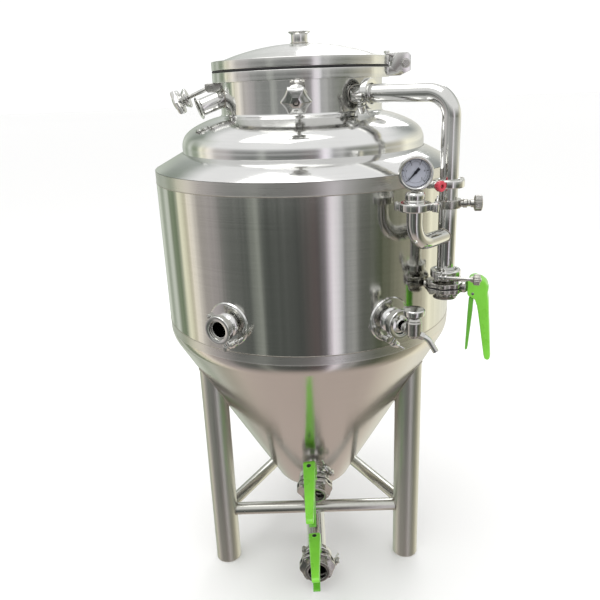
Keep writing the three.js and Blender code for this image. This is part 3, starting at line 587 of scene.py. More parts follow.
LIDTOP = smooth_line([(PR, 1334), (24, 1331.6), (60, 1328.6), (105, 1321.5), (150, 1310.5), (178, 1301.2)], 5) + [(187.5, 1297.9)]
lid = [(lathe([(PI_, 1330)] + LIDTOP + fillet([(189, 1297.3), (FL, 1297.3), (FL, 1277.4), (186, 1277.4)], 1.6, 4, closed=False) + [(186, 1294.5), (150, 1306.8), (105, 1318), (60, 1325), (PI_, 1328)], BIGS), "lid")]
lid.append((at(merge(ring(PR, PI_, -28, -5, 64, 0.3), ferrule(PR, PI_, FR)), V(0, 0, 1358)), "polish"))
lid.append((tube([V(PR * 1.03 * math.cos(2 * math.pi * i / 60), PR * 1.03 * math.sin(2 * math.pi * i / 60), 1333) for i in range(60)], 0, 1.7, 0, 10, closed=True), "weld"))
make("lid_dish", lid, "lid", sharp=35)
ARMP = fillet([(209, 1284), (226, 1284), (236, 1271.5), (246, 1268.5), (254.5, 1272), (257, 1280), (254, 1288.5), (244, 1293), (228, 1304), (200.5, 1304), (200.5, 1297.7), (209, 1297.7)], 2, 3)
ha = merge(plate(ARMP, -11, 11, 1.2), at(hexa(6, 0, 5), V(204, -5.5, 1303.6)), at(hexa(6, 0, 5), V(204, 6.5, 1303.6)))
make("hinge_arm", [(ha, "polish")], "lid_hinge_arm")

# ----------------------------------------------------------------- swing bolts


def star_profile(q, r):
    return r


for nm, a in LUGS.items():
    d = out(a, -22)
    o = out(a) * LUGR + V(0, 0, LUGZ)
    t = out(a).cross(V(0, 0, 1))
    eye = at(lathe([(3.9, -5.4), (8.6, -5.4), (8.6, 5.4), (3.9, 5.4)], 40, 0.8), V(0, 0, 0), V(1, 0, 0))
    thread = lathe([(0, 6.5), (5, 6.5)] + [(5 - (0.45 if k % 2 else 0), 30 + k * 0.75) for k in range(82)] + [(4.2, 94), (0, 94.6)], 28)
    make("swing_rod_" + nm, [(at(eye, o, d, t), "bolt"), (at(thread, o, d, t), "bolt")], "swing_bolt_" + nm)
    hub = lathe([(5.6, 57.5), (22, 57.5), (23.2, 58.6), (23.2, 61.5), (20, 66), (16.2, 71), (14.6, 75), (15.5, 78.5), (5.6, 78.5)], 56, 0.8)

    def lobes(q, r, z):
        k = min(1.0, r / 24.0)
        return r * (1.045 - 0.2 * k * abs(math.sin(3 * q)) ** 0.85)
    star = lathe([(5.6, 75.6), (14, 75.2), (24, 75.8), (29.2, 78.0), (30.6, 82), (30.6, 87), (29.2, 90.6), (25, 92.6), (15, 94.2), (12.4, 96), (5.6, 96)], 96, 0, radial=lobes)
    make("star_grip_" + nm, [(at(hub, o, d, t), "polish"), (at(star, o, d, t), "polish")], "star_knob_" + nm, sharp=50)

# ---------------------------------------------------------------- legs, braces
LC, LR = 284.0, 33.0
LEGS = {"left": -60, "right": 60, "rear": 180}


def cone_z(x, y):
    return ZC - (JR - math.hypot(x, y)) / CK


for nm, a in LEGS.items():
    c = out(a) * LC
    seg = 96
    vs, fs = [], []
    prof = fillet([(0, 0), (LR, 0), (LR, 40)], 3.0, 5, closed=False)
    rows = []
    for x, z in prof[:-1]:
        if x < 1e-9:
            rows.append([len(vs)]); vs.append(V(c.x, c.y, z)); continue
        rows.append([len(vs) + i for i in range(seg)])
        vs += [V(c.x + x * math.cos(2 * math.pi * i / seg), c.y + x * math.sin(2 * math.pi * i / seg), z) for i in range(seg)]
    edge = []
    for rr in (LR, LR - 3):
        row = []
        for i in range(seg):
            px, py = c.x + rr * math.cos(2 * math.pi * i / seg), c.y + rr * math.sin(2 * math.pi * i / seg)
            row.append(len(vs)); vs.append(V(px, py, min(cone_z(px, py) - 0.4, 610)))
        rows.append(row)
        if rr == LR:
            edge = [vs[k].copy() for k in row]
    rows.append([len(vs) + i for i in range(seg)])
    vs += [V(c.x + (LR - 3) * math.cos(2 * math.pi * i / seg), c.y + (LR - 3) * math.sin(2 * math.pi * i / seg), 5) for i in range(seg)]
    rows.append([len(vs)]); vs.append(V(c.x, c.y, 5))
    for i in range(len(rows) - 1):
        p, q = rows[i], rows[i + 1]
        for k in range(seg):
            k2 = (k + 1) % seg
            if len(p) == 1:
                fs.append((p[0], q[k2], q[k]))
            elif len(q) == 1:
                fs.append((p[k], p[k2], q[0]))
            else:
                fs.append((p[k], p[k2], q[k2], q[k]))
    make("leg_tube_" + nm, [([vs, fs], "leg"), (tube(edge, 0, 2.2, 0, 10, closed=True), "weld")], "leg_" + nm, sharp=35)

BR, BZ = 16.3, 152.0
for nm, (p, q) in {"front": ("left", "right"), "right": ("right", "rear"), "left": ("rear", "left")}.items():
    a, b = out(LEGS[p]) * LC + V(0, 0, BZ), out(LEGS[q]) * LC + V(0, 0, BZ)
    d = (b - a).normalized()
    ln = (b - a).length
    parts = [(at(ring(BR, BR - 2.5, 31, ln - 31, 56, 0.2), a, d), "brace")]
    parts.append((bead_on_cyl(a, d, BR, LR, 1.8, 60, a.x, a.y), "weld"))
    parts.append((bead_on_cyl(b, -d, BR, LR, 1.8, 60, b.x, b.y), "weld"))
    make("brace_tube_" + nm, parts, "brace_" + nm)


# ------------------------------------------------------- repeated hardware
def clamp(rt, rf, bolt_end=26.0, nut_z=None):
    ro = rf + 7
    body = lathe([(rt + 2.4, -7), (rf + 2, -8), (ro - 1, -8), (ro, -6), (ro, 6), (ro - 1, 8), (rf + 2, 8), (rt + 2.4, 7), (rt + 2.4, 5.6), (rf + 0.9, 3), (rf + 0.9, -3), (rt + 2.4, -5.6)], 72, 0.8)
    ears = merge(*[plate(fillet([(ro - 4, -7), (ro + 10, -7), (ro + 15.5, -3.5), (ro + 15.5, 3.5), (ro + 10, 7), (ro - 4, 7)], 2, 3), y0, y1, 1.2) for y0, y1 in ((-9.4, -1.2), (1.2, 9.0))])
    kn = merge(at(cyl(5.2, -7.6, 7.6, 28), V(-ro - 3.2, 0, 0)), at(cyl(2.6, -9, 9, 20), V(-ro - 3.2, 0, 0)),
               block(-ro - 4, -ro + 3, -7, -1.4, -6, 6), block(-ro - 4, -ro + 3, 1.4, 7, -6, 6))
    thread = lathe([(0, -12.5), (3.6, -12.5)] + [(3.9 - (0.35 if k % 2 else 0), -11.5 + k * (bolt_end + 11) / 60.0) for k in range(60)] + [(3.3, bolt_end), (0, bolt_end + 0.4)], 24)
    bolt = merge(at(thread, V(ro + 9, 0, 0), V(0, 1, 0)), at(cyl(6.5, -7.5, 7.5, 24), V(ro + 9, -11, 0)))
    return [(body, "polish"), (ears, "polish"), (kn, "bolt"), (bolt, "bolt")]


def gasket(rt, rf):
    return ring(rf - 0.6, rt - 1.4, -0.28, 0.28, 64, 0.05)


def wingnut():
    w = [(5, 4.5), (9, 5.8), (12, 8.0), (14.5, 12.3), (16.8, 16.6), (17.8, 19.6), (16.6, 22.2), (13.4, 21.2), (10.6, 16.2), (5, 13)]
    body = lathe([(4.4, 0), (9.2, 0), (9.2, 1.5), (8.4, 6), (7.0, 14.2), (4.4, 14.2)], 40, 0.6)
    ws = [plate(fillet([(s * x, z) for x, z in w], 1.8, 3), -1.9, 1.9, 1.0) for s in (1, -1)]
    return merge(body, *ws)


def knob(r, h, knurl=28, depth=0.9):
    def kn(q, x, z):
        return x + (depth * (1 if int(round(q / (2 * math.pi) * knurl * 4)) % 4 < 2 else 0) if x > r * 0.96 and x < r * 1.01 else 0)
    return lathe([(4.4, 0), (r * 0.55, 0), (r * 0.6, h * 0.25), (r * 0.9, h * 0.3), (r, h * 0.38), (r, h * 0.88), (r * 0.92, h * 0.96), (r * 0.6, h), (4.4, h * 0.97)], knurl * 4, 0, radial=kn)


def place(parts, o, d, ref):
    return [(at(m, o, d, ref), mt) for m, mt in parts]


def pad(d, r0=19.5, r1=50.0, hgt=3.0, rings=14, seg=96):
    """reinforcing disc that follows the cylinder"""
    b = basis(d, V(0, 0, 1))
    base = V(0, 0, PORT_Z)
    vs, fs, rows = [], [], []
    prof = [(r1, -1.0)]
    for i in range(rings + 1):
        t = i / rings
        r = r1 - (r1 - r0) * t
        h = hgt * min(1, (r1 - r) / 2.6) ** 0.5 + (7.5 * max(0, 1 - (r - r0) / 9.0) ** 2)
        prof.append((r, h))
    for r, h in prof:
        row = []
        for k in range(seg):
            a = 2 * math.pi * k / seg
            p = base + b @ V(r * math.cos(a), r * math.sin(a), 0)
            # move out along d to the cylinder
            B = 2 * (p.x * d.x + p.y * d.y); C = p.x ** 2 + p.y ** 2 - (JR + h) ** 2
            t = (-B + math.sqrt(B * B - 4 * C)) / 2
            row.append(len(vs)); vs.append(p + d * t)
        rows.append(row)
    for i in range(len(rows) - 1):
        for k in range(seg):
            k2 = (k + 1) % seg
            fs.append((rows[i][k], rows[i][k2], rows[i + 1][k2], rows[i + 1][k]))
    return [vs, fs]


base = V(0, 0, PORT_Z)
dL, dR = out(-PORT_AZ), out(PORT_AZ)
for nm, d, face in (("left", dL, PORT_FACE), ("right", dR, PORT_FACE)):
    tb = merge(at(ring(PR, PI_, 289, face - 5, 72, 0.3), base, d), at(ferrule(PR, PI_, FR), base + d * face, d))
    make("front_port_" + nm, [(tb, "polish"), (pad(d), "dome")], "port_" + nm, sharp=35)
o = base + dL * PORT_FACE
ref = V(0.72, 0.3, -0.69)
make("loose_clamp_left", place(clamp(PR, FR, 30), o, dL, ref), "port_left_clamp")
bb = basis(dL, ref)
make("wing_nut_left", [(at(wingnut(), o + bb @ V(FR + 16, 9.6, 0), bb @ V(0, 1, 0), bb @ V(0, 0, 1)), "polish")], "port_left_nut")
o = base + dR * (PORT_FACE + 0.3)
ref = V(-0.55, -0.2, -0.8)
bb = basis(dR, ref)
make("sample_clamp", place(clamp(PR, FR, 22) + [(gasket(PR, FR), "rubber")] + [(at(wingnut(), V(FR + 16, 9.6, 0), V(0, 1, 0), V(0, 0, 1)), "polish")], o, dR, ref), "port_right_clamp")
# sample valve
SVR = 442.0
low_ = base + dR * SVR
o = low_ + V(0, 0, 11)
PF = PORT_FACE + 0.3 - SVR
svb = lathe([(0, -26), (9, -26), (12, -24), (12.5, -21), (16.5, -18), (16.5, 8), (15, 11), (15, 13), (13, 16), (12, 18), (6, 18.6), (5, 19), (5, 33), (0, 33)], 64, 0.7)
inlet = at(lathe([(0, PF + 0.3), (FR, PF + 0.3), (FR, PF + 2.4), (14, PF + 6.4), (11.6, PF + 9), (11.6, -27), (14.0, -25), (14.0, -12), (0, -12)], 56, 0.8), V(0, 0, 0), dR)
sdir = V(0.93, -0.36, 0).normalized()
s0 = V(0, 0, -14); s1 = s0 + sdir * 30 + V(0, 0, -12); s2 = s1 + sdir * 16 + V(0, 0, -26)
sp = tube([s0, s1, s2], 24, 6.3, 4.6, 32, 12)
collar = at(lathe([(0, 10), (9, 10), (9, 21), (7.6, 23), (0, 23)], 6), s0, (s1 - s0))
make("sample_valve", [(at(svb, o), "cast"), (at(inlet, low_), "polish"), (at(sp, o), "polish"), (at(collar, o), "bolt")], "sample_valve_body")
make("sample_handwheel", [(at(lathe([(5.4, 19.2), (11, 19.2), (12.5, 22), (19.5, 22.6), (21.6, 24.5), (22, 29.5), (21.6, 34.5), (19.8, 36.6), (10, 37.4), (0, 37.4), (0, 33.4), (5.4, 33.4)][::-1] if False else [(0, 33.4), (5.4, 33.4), (5.4, 19.2), (11, 19.2), (12.5, 22), (19.5, 22.6), (21.6, 24.5), (22, 29.5), (21.6, 34.5), (19.8, 36.6), (10, 37.4), (0, 37.4)], 96, 0.5), o), "polish")], "sample_valve_knob")

# ------------------------------------------------------------- blow-off arm
o = aface + ad * 0.3
ref = V(-0.6, -0.72, -0.35)
bb = basis(ad, ref)
make("arm_clamp_at_neck", place(clamp(PR, FR, 27) + [(gasket(PR, FR), "rubber")], o, ad, ref), "arm_top_clamp")
make("arm_wing_nut_at_neck", [(at(wingnut(), o + bb @ V(FR + 16, 9.6, 0), bb @ V(0, 1, 0), bb @ V(0, 0, 1)), "polish")], "arm_top_nut")


def arm(z):
    return V(ARM[0], ARM[1], z)


st = aface + ad * 0.6
make("arm_bend", [(tube([st + ad * 4, arm(1218), arm(ZMID + 4)], 50, PR, PI_, 64, 24), "polish"),
                  (at(ferrule(PR, PI_, FR), st, -ad), "polish"), (at(ferrule(PR, PI_, FR), arm(ZMID + 0.3), V(0, 0, -1)), "polish")], "arm_pipe_upper")
ref = V(-0.86, -0.5, 0)
bb = basis(V(0, 0, 1), ref)
make("arm_clamp_middle", place(clamp(PR, FR, 22) + [(gasket(PR, FR), "rubber")], arm(ZMID), V(0, 0, 1), ref), "arm_mid_clamp")
make("red_nut", [(at(knob(10.5, 17, 12, 0.8), arm(ZMID) + bb @ V(FR + 16, 9.6, 0), bb @ V(0, 1, 0), bb @ V(0, 0, 1)), "red")], "arm_mid_nut")
z0 = ZV + BL + 0.6
bd = V(0.985, -0.17, 0).normalized()
G3 = lambda z: V(GA[0], GA[1], z)
low = [(at(ring(PR, PI_, z0 + 4, ZMID - 4, 64, 0.2), V(ARM[0], ARM[1], 0)), "polish"),
       (at(ferrule(PR, PI_, FR), arm(ZMID - 0.3), V(0, 0, 1)), "polish"), (at(ferrule(PR, PI_, FR), arm(z0), V(0, 0, -1)), "polish"),
       (tube([arm(ZTEE), G3(ZTEE), G3(ZGC - 5)], 48, 16, 14.4, 56, 24), "polish"),
       (at(ferrule(16, 14.4, FR), G3(ZGC - 0.3), V(0, 0, 1)), "polish"),
       (at(lathe([(PR - 0.5, -9), (26, -9), (27, -8), (27, 8), (26, 9), (PR - 0.5, 9)], 64, 0.8), arm(ZBOSS)), "cast"),
       (at(lathe([(0, 10), (8, 10), (8, 30), (9.6, 31), (9.6, 38), (7, 40), (7, 45), (4, 45.4), (4, 64), (0, 64)], 40, 0.7), arm(ZBOSS), bd), "cast")]
_bd2 = (G3(ZTEE) - arm(ZTEE)).normalized()
low.append((bead_on_cyl(arm(ZTEE) + _bd2 * 0, _bd2, 16, PR, 1.5, 60, ARM[0], ARM[1]), "weld"))
make("arm_riser", low, "arm_pipe_lower")
make("side_knob", [(at(knob(15.5, 24, 26, 1.0), arm(ZBOSS) + bd * 46, bd, V(0, 0, 1)), "cast")], "arm_side_knob")

# -------------------------------------------------------------------- gauge
make("gauge_clamp_band", place(clamp(16, FR, 24) + [(gasket(16, FR), "rubber")] + [(at(wingnut(), V(FR + 16, 9.6, 0), V(0, 1, 0), V(0, 0, 1)), "polish")], G3(ZGC), V(0, 0, 1), V(0.95, -0.3, 0)), "gauge_clamp")
make("seal_base", [(at(lathe([(0, 0.3), (FR, 0.3), (FR, 2.5), (21, 6.2), (19.5, 8), (19.5, 12), (18.6, 12.8), (18.6, 14.6), (19.5, 15.4), (19.5, 24), (17, 28), (9, 29), (0, 29)], 72, 0.6), G3(ZGC)), "polish")], "gauge_seal_base")
gc = G3(1073)
gf = out(-5)
gp = [(at(lathe([(0, -16), (26, -16), (30, -14), (31, -11), (31, 6), (33, 7.2), (34, 9), (34, 12.5), (32.6, 15.2), (30.2, 15.8), (28.2, 14.4), (28, 11.4), (28, -2), (0, -2)], 128, 0.6), gc, gf, V(0, 0, 1)), "polish"),
      (at(at(lathe([(0, 29), (9.5, 29), (9.5, 34.4), (6, 34.8), (6, 36.6), (0, 36.6)], 6), V(0, 0, 0), V(-1, 0, 0)), gc, gf, V(0, 0, 1)), "bolt")]
make("gauge_housing", gp, "gauge_case")
marks = []
for i in range(51):
    q = rad(225 - 270 * i / 50)
    r0 = 25.8; r1 = 21.6 if i % 10 == 0 else (23.0 if i % 5 == 0 else 24.2)
    w = 0.7 if i % 10 == 0 else 0.36
    # local X is up, local Y is to the reader's left
    c, s = math.cos(q), math.sin(q)
    pts = [(r1, -w), (r0, -w), (r0, w), (r1, w)]
    vs = []
    for z in (-0.45, -0.3):
        for r, t in pts:
            X, Y = r * c - t * s, r * s + t * c
            vs.append(V(Y, -X, z))
    marks.append([vs, [(3, 2, 1, 0), (4, 5, 6, 7), (0, 1, 5, 4), (1, 2, 6, 5), (2, 3, 7, 6), (3, 0, 4, 7)]])
mk = merge(*marks)
make("gauge_face", [(at(lathe([(0, -1.6), (27.3, -1.6), (27.3, -0.5), (0, -0.5)], 128, 0.1), gc, gf, V(0, 0, 1)), "dial"), (at(mk, gc, gf, V(0, 0, 1)), "ink"),
                    (at(ring(20.4, 20.05, -0.5, -0.32, 96, 0.02), gc, gf, V(0, 0, 1)), "ink")], "gauge_dial")
nb_ = basis(gf, V(0, 0, 1))
ndir = nb_ @ V(-0.745, 0.667, 0)
ndl = plate([(-10.5, -3.0), (-4, -2.6), (2, -1.9), (22, -0.4), (22, 0.4), (2, 1.9), (-4, 2.6), (-10.5, 3.0)], -0.4, 0.4, 0.12)
ndl = at(ndl, V(0, 0, 1.8), V(0, 1, 0), V(1, 0, 0))
make("gauge_pointer", [(at(merge(ndl, cyl(3, 0.3, 3.2, 32, 0.3)), gc, gf, ndir), "ink")], "gauge_needle")
make("gauge_window", [(at(cyl(27.4, 9, 11, 96, 0.4), gc, gf, V(0, 0, 1)), "glass")], "gauge_lens")
# generic scale numbers
for i, txt in enumerate(("0", "1", "2", "3", "4", "5")):
    q = rad(225 - 54 * i)
    cu = bpy.data.curves.new("dial_number_" + txt, "FONT")
    cu.body = txt; cu.size = 0.0062; cu.extrude = 0.00008; cu.align_x = "CENTER"; cu.align_y = "CENTER"
    ob = bpy.data.objects.new("dial_number_" + txt, cu)
    bpy.context.scene.collection.objects.link(ob)
    X, Y = 17.2 * math.cos(q), 17.2 * math.sin(q)
    p = gc + nb_ @ V(Y, -X, -0.35)
    right = V(0, 0, 1).cross(gf).normalized()
    m4 = Matrix((right, V(0, 0, 1), gf)).transposed().to_4x4()
    m4.translation = V((p.x + AX) * K, (p.y + AY) * K, p.z * K)
    ob.matrix_world = m4
    cu.materials.append(MAT["ink"])
    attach(ob, "tank")


# -------------------------------------------------------- butterfly valves
def bolt_head(x, y, z, d, r=5.2):
    return merge(at(hexa(r, 0, 4.2), V(x, y, z), d), at(ring(r + 1.4, 2.5, -0.6, 0.3, 28, 0.1), V(x, y, z), d))


def valve_parts(rt, ri, rf, rb):
    halfs = [(ri, -BL), (rf, -BL), (rf, -BL + 2.2), (rt + 2.5, -BL + 5.2), (rt + 1, -BL + 8), (rt + 1, -13), (rb - 6, -11.5), (rb - 1, -11), (rb, -10), (rb, -1.6), (rb - 2, -1.2),
             (rb - 2, 1.2), (rb, 1.6), (rb, 10), (rb - 1, 11), (rb - 6, 11.5), (rt + 1, 13), (rt + 1, BL - 8), (rt + 2.5, BL - 5.2), (rf, BL - 2.2), (rf, BL), (ri, BL)]

    def scallop(q, x, z):
        return x - (1.0 - math.cos(8 * q)) * (1.7 if x > rb - 3 else 0.0)
    body = lathe(halfs, 128, 0.8, radial=scallop)
    boss = at(lathe([(0, rt), (14.5, rt), (14.5, rb + 0.5), (13.5, rb + 2.5), (11, 48.6), (0, 48.6)], 40, 0.8), V(0, 0, 0), V(1, 0, 0))
    foot = at(lathe([(0, rt), (9, rt), (9, rb + 1.6), (7.6, rb + 2.6), (0, rb + 2.6)], 32, 0.6), V(0, 0, 0), V(-1, 0, 0))
    heads = []
    for k in range(4):
        a = math.pi / 4 + k * math.pi / 2
        x, y = (rb - 7.5) * math.cos(a), (rb - 7.5) * math.sin(a)
        heads += [bolt_head(x, y, 11.3, V(0, 0, 1)), bolt_head(x, y, -11.3, V(0, 0, -1))]
    seal = ring(rb - 1.4, ri, -1.0, 1.0, 96, 0.1)
    plate_ = block(rb - 3, 49.0, -16, 16, -12, 12, 2.0)
    return [(body, "cast"), (boss, "cast"), (foot, "cast"), (merge(*heads), "bolt"), (seal, "rubber")]


def disc_parts(ri):
    d = at(lathe([(0, -2.6), (8, -2.4), (ri - 1.5, -1.2), (ri - 0.7, 0), (ri - 1.5, 1.2), (8, 2.4), (0, 2.6)], 64), V(0, 0, 0), V(0, 1, 0))
    return [(d, "polish"), (at(cyl(4, -ri - 7, 66, 28), V(0, 0, 0), V(1, 0, 0)), "polish")]


LEVER = [(49.4, -18), (53, -24), (62, -27), (76, -23.5), (86.0, -16.5), (90.2, -9), (91.0, 11), (93.5, 26), (104.5, 158), (102.5, 164), (97, 165.5), (92.5, 162), (90.5, 155), (74.5, 58), (71, 40), (66, 26), (60, 21.5), (54, 20), (49.4, 15)]
TRIG = [(52.6, 23), (62.4, 23.4), (61, 60), (54.8, 143), (52, 146.5), (49.8, 143.5), (51.4, 60)]


def taper(v):
    t = max(0.0, min(1.0, v.z / 160.0))
    return V(v.x, v.y * (1.04 - 0.44 * t), v.z)


def lever_parts():
    g = plate(fillet(LEVER, 7, 5), -14.6, 14.6, 3.2, 5, taper)
    # black disc on the grip's hub end: painted shade of a hole, the grip is not cut open
    face = at(lathe([(0, 91.0), (4.6, 91.1), (5.6, 91.5), (5.6, 88), (0, 88)], 36), V(0, 0, 0.5), V(1, 0, 0))
    rim = at(lathe([(5.6, 89.5), (7.9, 89.5), (7.9, 91.5), (7.0, 92.0), (5.6, 91.7)], 40, 0.3), V(0, 0, 0.5), V(1, 0, 0))
    pinh = merge(at(cyl(3.2, -15.4, 15.4, 24), V(61, 0, 12), V(0, 1, 0)))
    rib = plate(fillet([(77, 30), (87, 30), (98, 150), (94.5, 150)], 2, 3), -12.2, 12.2, 1.0, 2, taper)
    rib = [[V(v.x, v.y, v.z) for v in rib[0]], rib[1]]
    return [(g, "green"), (face, "hole"), (rim, "green"), (pinh, "bolt")]


def trigger_parts():
    # the trigger takes the darker green copy: painted shade under the lever, not a different plastic
    return [(plate(fillet(TRIG, 3, 4), -8.5, 8.5, 2.2, 4), "green_dark"), (plate([(56.6, 9), (65, 9), (65.2, 20), (60, 26), (56.6, 26)], -3.6, 3.6, 0.6, 2), "green_dark")]


up = V(0, -math.sin(rad(20)), math.cos(rad(20)))
rdir = V(0, -math.cos(rad(20)), -math.sin(rad(20)))
stem8 = up * math.cos(rad(8)) + V(-math.sin(rad(8)), 0, 0)
RACK = V(0, -202.5, 256.5)
OUTC = V(0, -269, 67.5)
for nm, o, d, x, dims in (("arm", arm(ZV), V(0, 0, -1), out(70), (PR, PI_, FR, 43.0)),
                          ("racking", RACK, rdir, stem8, (OR_, OI, OF, 46.0)),
                          ("outlet", OUTC, V(0, -1, 0), V(-math.sin(rad(3)), 0, math.cos(rad(3))), (OR_, OI, OF, 46.0))):
    make(nm + "_butterfly_body", place(valve_parts(*dims), o, d, x), nm + "_valve_body")
    make(nm + "_butterfly_disc", place(disc_parts(dims[1]), o, d, x), nm + "_valve_disc")
    make(nm + "_grip", place(lever_parts(), o, d, x), nm + "_valve_handle", sharp=50)
    make(nm + "_grip_trigger", place(trigger_parts(), o, d, x), nm + "_valve_trigger", sharp=50)

ref = V(-0.35, -0.94, 0)
bb = basis(V(0, 0, 1), ref)
make("arm_valve_clamp_band", place(clamp(PR, FR, 80) + [(gasket(PR, FR), "rubber")], arm(ZV + BL + 0.3), V(0, 0, 1), ref), "arm_valve_clamp")
make("arm_valve_knob", [(at(knob(11, 20, 20, 0.8), arm(ZV + BL + 0.3) + bb @ V(FR + 16, 58, 0), bb @ V(0, 1, 0), bb @ V(0, 0, 1)), "cast")], "arm_valve_nut")

# --------------------------------------------------- racking port, bottom outlet
rface = RACK - rdir * (BL + 0.6)
rp = [(at(ring(OR_, OI, -78, -5, 72, 0.3), rface, rdir), "polish"), (at(ferrule(OR_, OI, OF), rface, rdir), "polish")]
_b = basis(rdir, V(0, 0, 1))
pts = []
for i in range(72):
    a = 2 * math.pi * i / 72
    p0 = rface + _b @ V((OR_ + 0.5) * math.cos(a), (OR_ + 0.5) * math.sin(a), 0)
    lo_, hi_ = -140.0, 0.0
    for _ in range(30):
        mid = (lo_ + hi_) / 2
        q = p0 + rdir * mid
        if math.hypot(q.x, q.y) < JR - (ZC - q.z) * CK:
            lo_ = mid
        else:
            hi_ = mid
    pts.append(p0 + rdir * lo_)
rp.append((tube(pts, 0, 2.4, 0, 10, closed=True), "weld"))
make("racking_stub", rp, "racking_port")
# clamp of the racking valve, part of the joint's dressing
make("racking_clamp_band", place(clamp(OR_, OF, 26) + [(gasket(OR_, OF), "rubber")] + [(at(wingnut(), V(OF + 16, 9.6, 0), V(0, 1, 0), V(0, 0, 1)), "polish")], RACK - rdir * (BL + 0.3), rdir, V(0.8, 0, 0.6)), None, body="tank")

y1 = OUTC.y + BL + 0.6
op = [(tube([V(0, 0, 160), V(0, 0, 67.5), V(0, y1 + 4, 67.5)], 60, OR_, OI, 72, 24), "polish"), (at(ferrule(OR_, OI, OF), V(0, y1, 67.5), V(0, -1, 0)), "polish")]
op += place(clamp(OR_, OF, 26)[:3], V(0, 0, 140), V(0, 0, 1), V(0.97, -0.25, 0))
make("outlet_bend", op, "outlet_pipe")
ref = V(0.8, 0, -0.6)
o = V(0, OUTC.y + BL + 0.3, 67.5)
bb = basis(V(0, -1, 0), ref)
make("outlet_clamp_band", place(clamp(OR_, OF, 30) + [(gasket(OR_, OF), "rubber")], o, V(0, -1, 0), ref), "outlet_clamp")
make("outlet_wing_nut", [(at(wingnut(), o + bb @ V(OF + 16, 9.6, 0), bb @ V(0, 1, 0), bb @ V(0, 0, 1)), "polish")], "outlet_nut")



def bore(name, cuts):
    """cut the real openings through a shell"""
    o = bpy.data.objects[name]
    tools = []
    for i, mesh in enumerate(cuts):
        me = bpy.data.meshes.new("cutter")
        me.from_pydata([((v.x + AX) * K, (v.y + AY) * K, v.z * K) for v in mesh[0]], [], [tuple(f) for f in mesh[1]])
        bm = bmesh.new(); bm.from_mesh(me)
        bmesh.ops.recalc_face_normals(bm, faces=bm.faces)
        bm.to_mesh(me); bm.free()
        c = bpy.data.objects.new("cutter", me)
        bpy.context.scene.collection.objects.link(c)
        md = o.modifiers.new("hole", "BOOLEAN")
        md.object, md.operation, md.solver = c, "DIFFERENCE", "EXACT"
        tools.append(c)
    bpy.context.view_layer.update()
    dg = bpy.context.evaluated_depsgraph_get()
    me = bpy.data.meshes.new_from_object(o.evaluated_get(dg))
    o.modifiers.clear()
    o.data = me
    for c in tools:
        bpy.data.objects.remove(c, do_unlink=True)


cutL = at(cyl(PI_ + 0.6, 200, 372, 48, 0), base, dL)
cutR = at(cyl(PI_ + 0.6, 200, 372, 48, 0), base, dR)
bore("jacket_wall", [cutL, cutR])
bore("tank_dome_and_neck", [cutL, cutR, at(cyl(PI_ + 0.4, -20, 14, 48, 0), so, sd), at(cyl(PI_ + 0.4, -20, 14, 48, 0), A0, ad)])

# carried-over CAD nodes
for _name, _m in (("insulation", "foam"),):
    _n = frame["nodes"][_name]
    _n.data.materials.clear()
    _n.data.materials.append(MAT[_m])

# ------------------------------------------------------------ floor and light
bm = bmesh.new()
bmesh.ops.create_grid(bm, x_segments=2, y_segments=2, size=45)
fm = bpy.data.meshes.new("floor")
bm.to_mesh(fm); bm.free()
floor = bpy.data.objects.new("floor", fm)
bpy.context.scene.collection.objects.link(floor)
floor.location = (0, 0, -0.0005)
m, nt, b = nodes_of("floor_pale")
b.inputs["Roughness"].default_value = 0.8
b.inputs["Specular IOR Level"].default_value = 0.2
n = N(nt, "ShaderNodeTexNoise"); n.inputs["Scale"].default_value = 3.0
nt.links.new(ramp(nt, n.outputs[0], [(0.3, (0.93, 0.93, 0.925)), (0.7, (0.95, 0.95, 0.945))]), b.inputs["Base Color"])
lp = N(nt, "ShaderNodeLightPath")
tr = N(nt, "ShaderNodeBsdfTransparent")
ms = N(nt, "ShaderNodeMixShader")
nt.links.new(lp.outputs["Is Glossy Ray"], ms.inputs[0])
nt.links.new(b.outputs[0], ms.inputs[1]); nt.links.new(tr.outputs[0], ms.inputs[2])
nt.links.new(ms.outputs[0], nt.nodes["Material Output"].inputs["Surface"])
fm.materials.append(m)

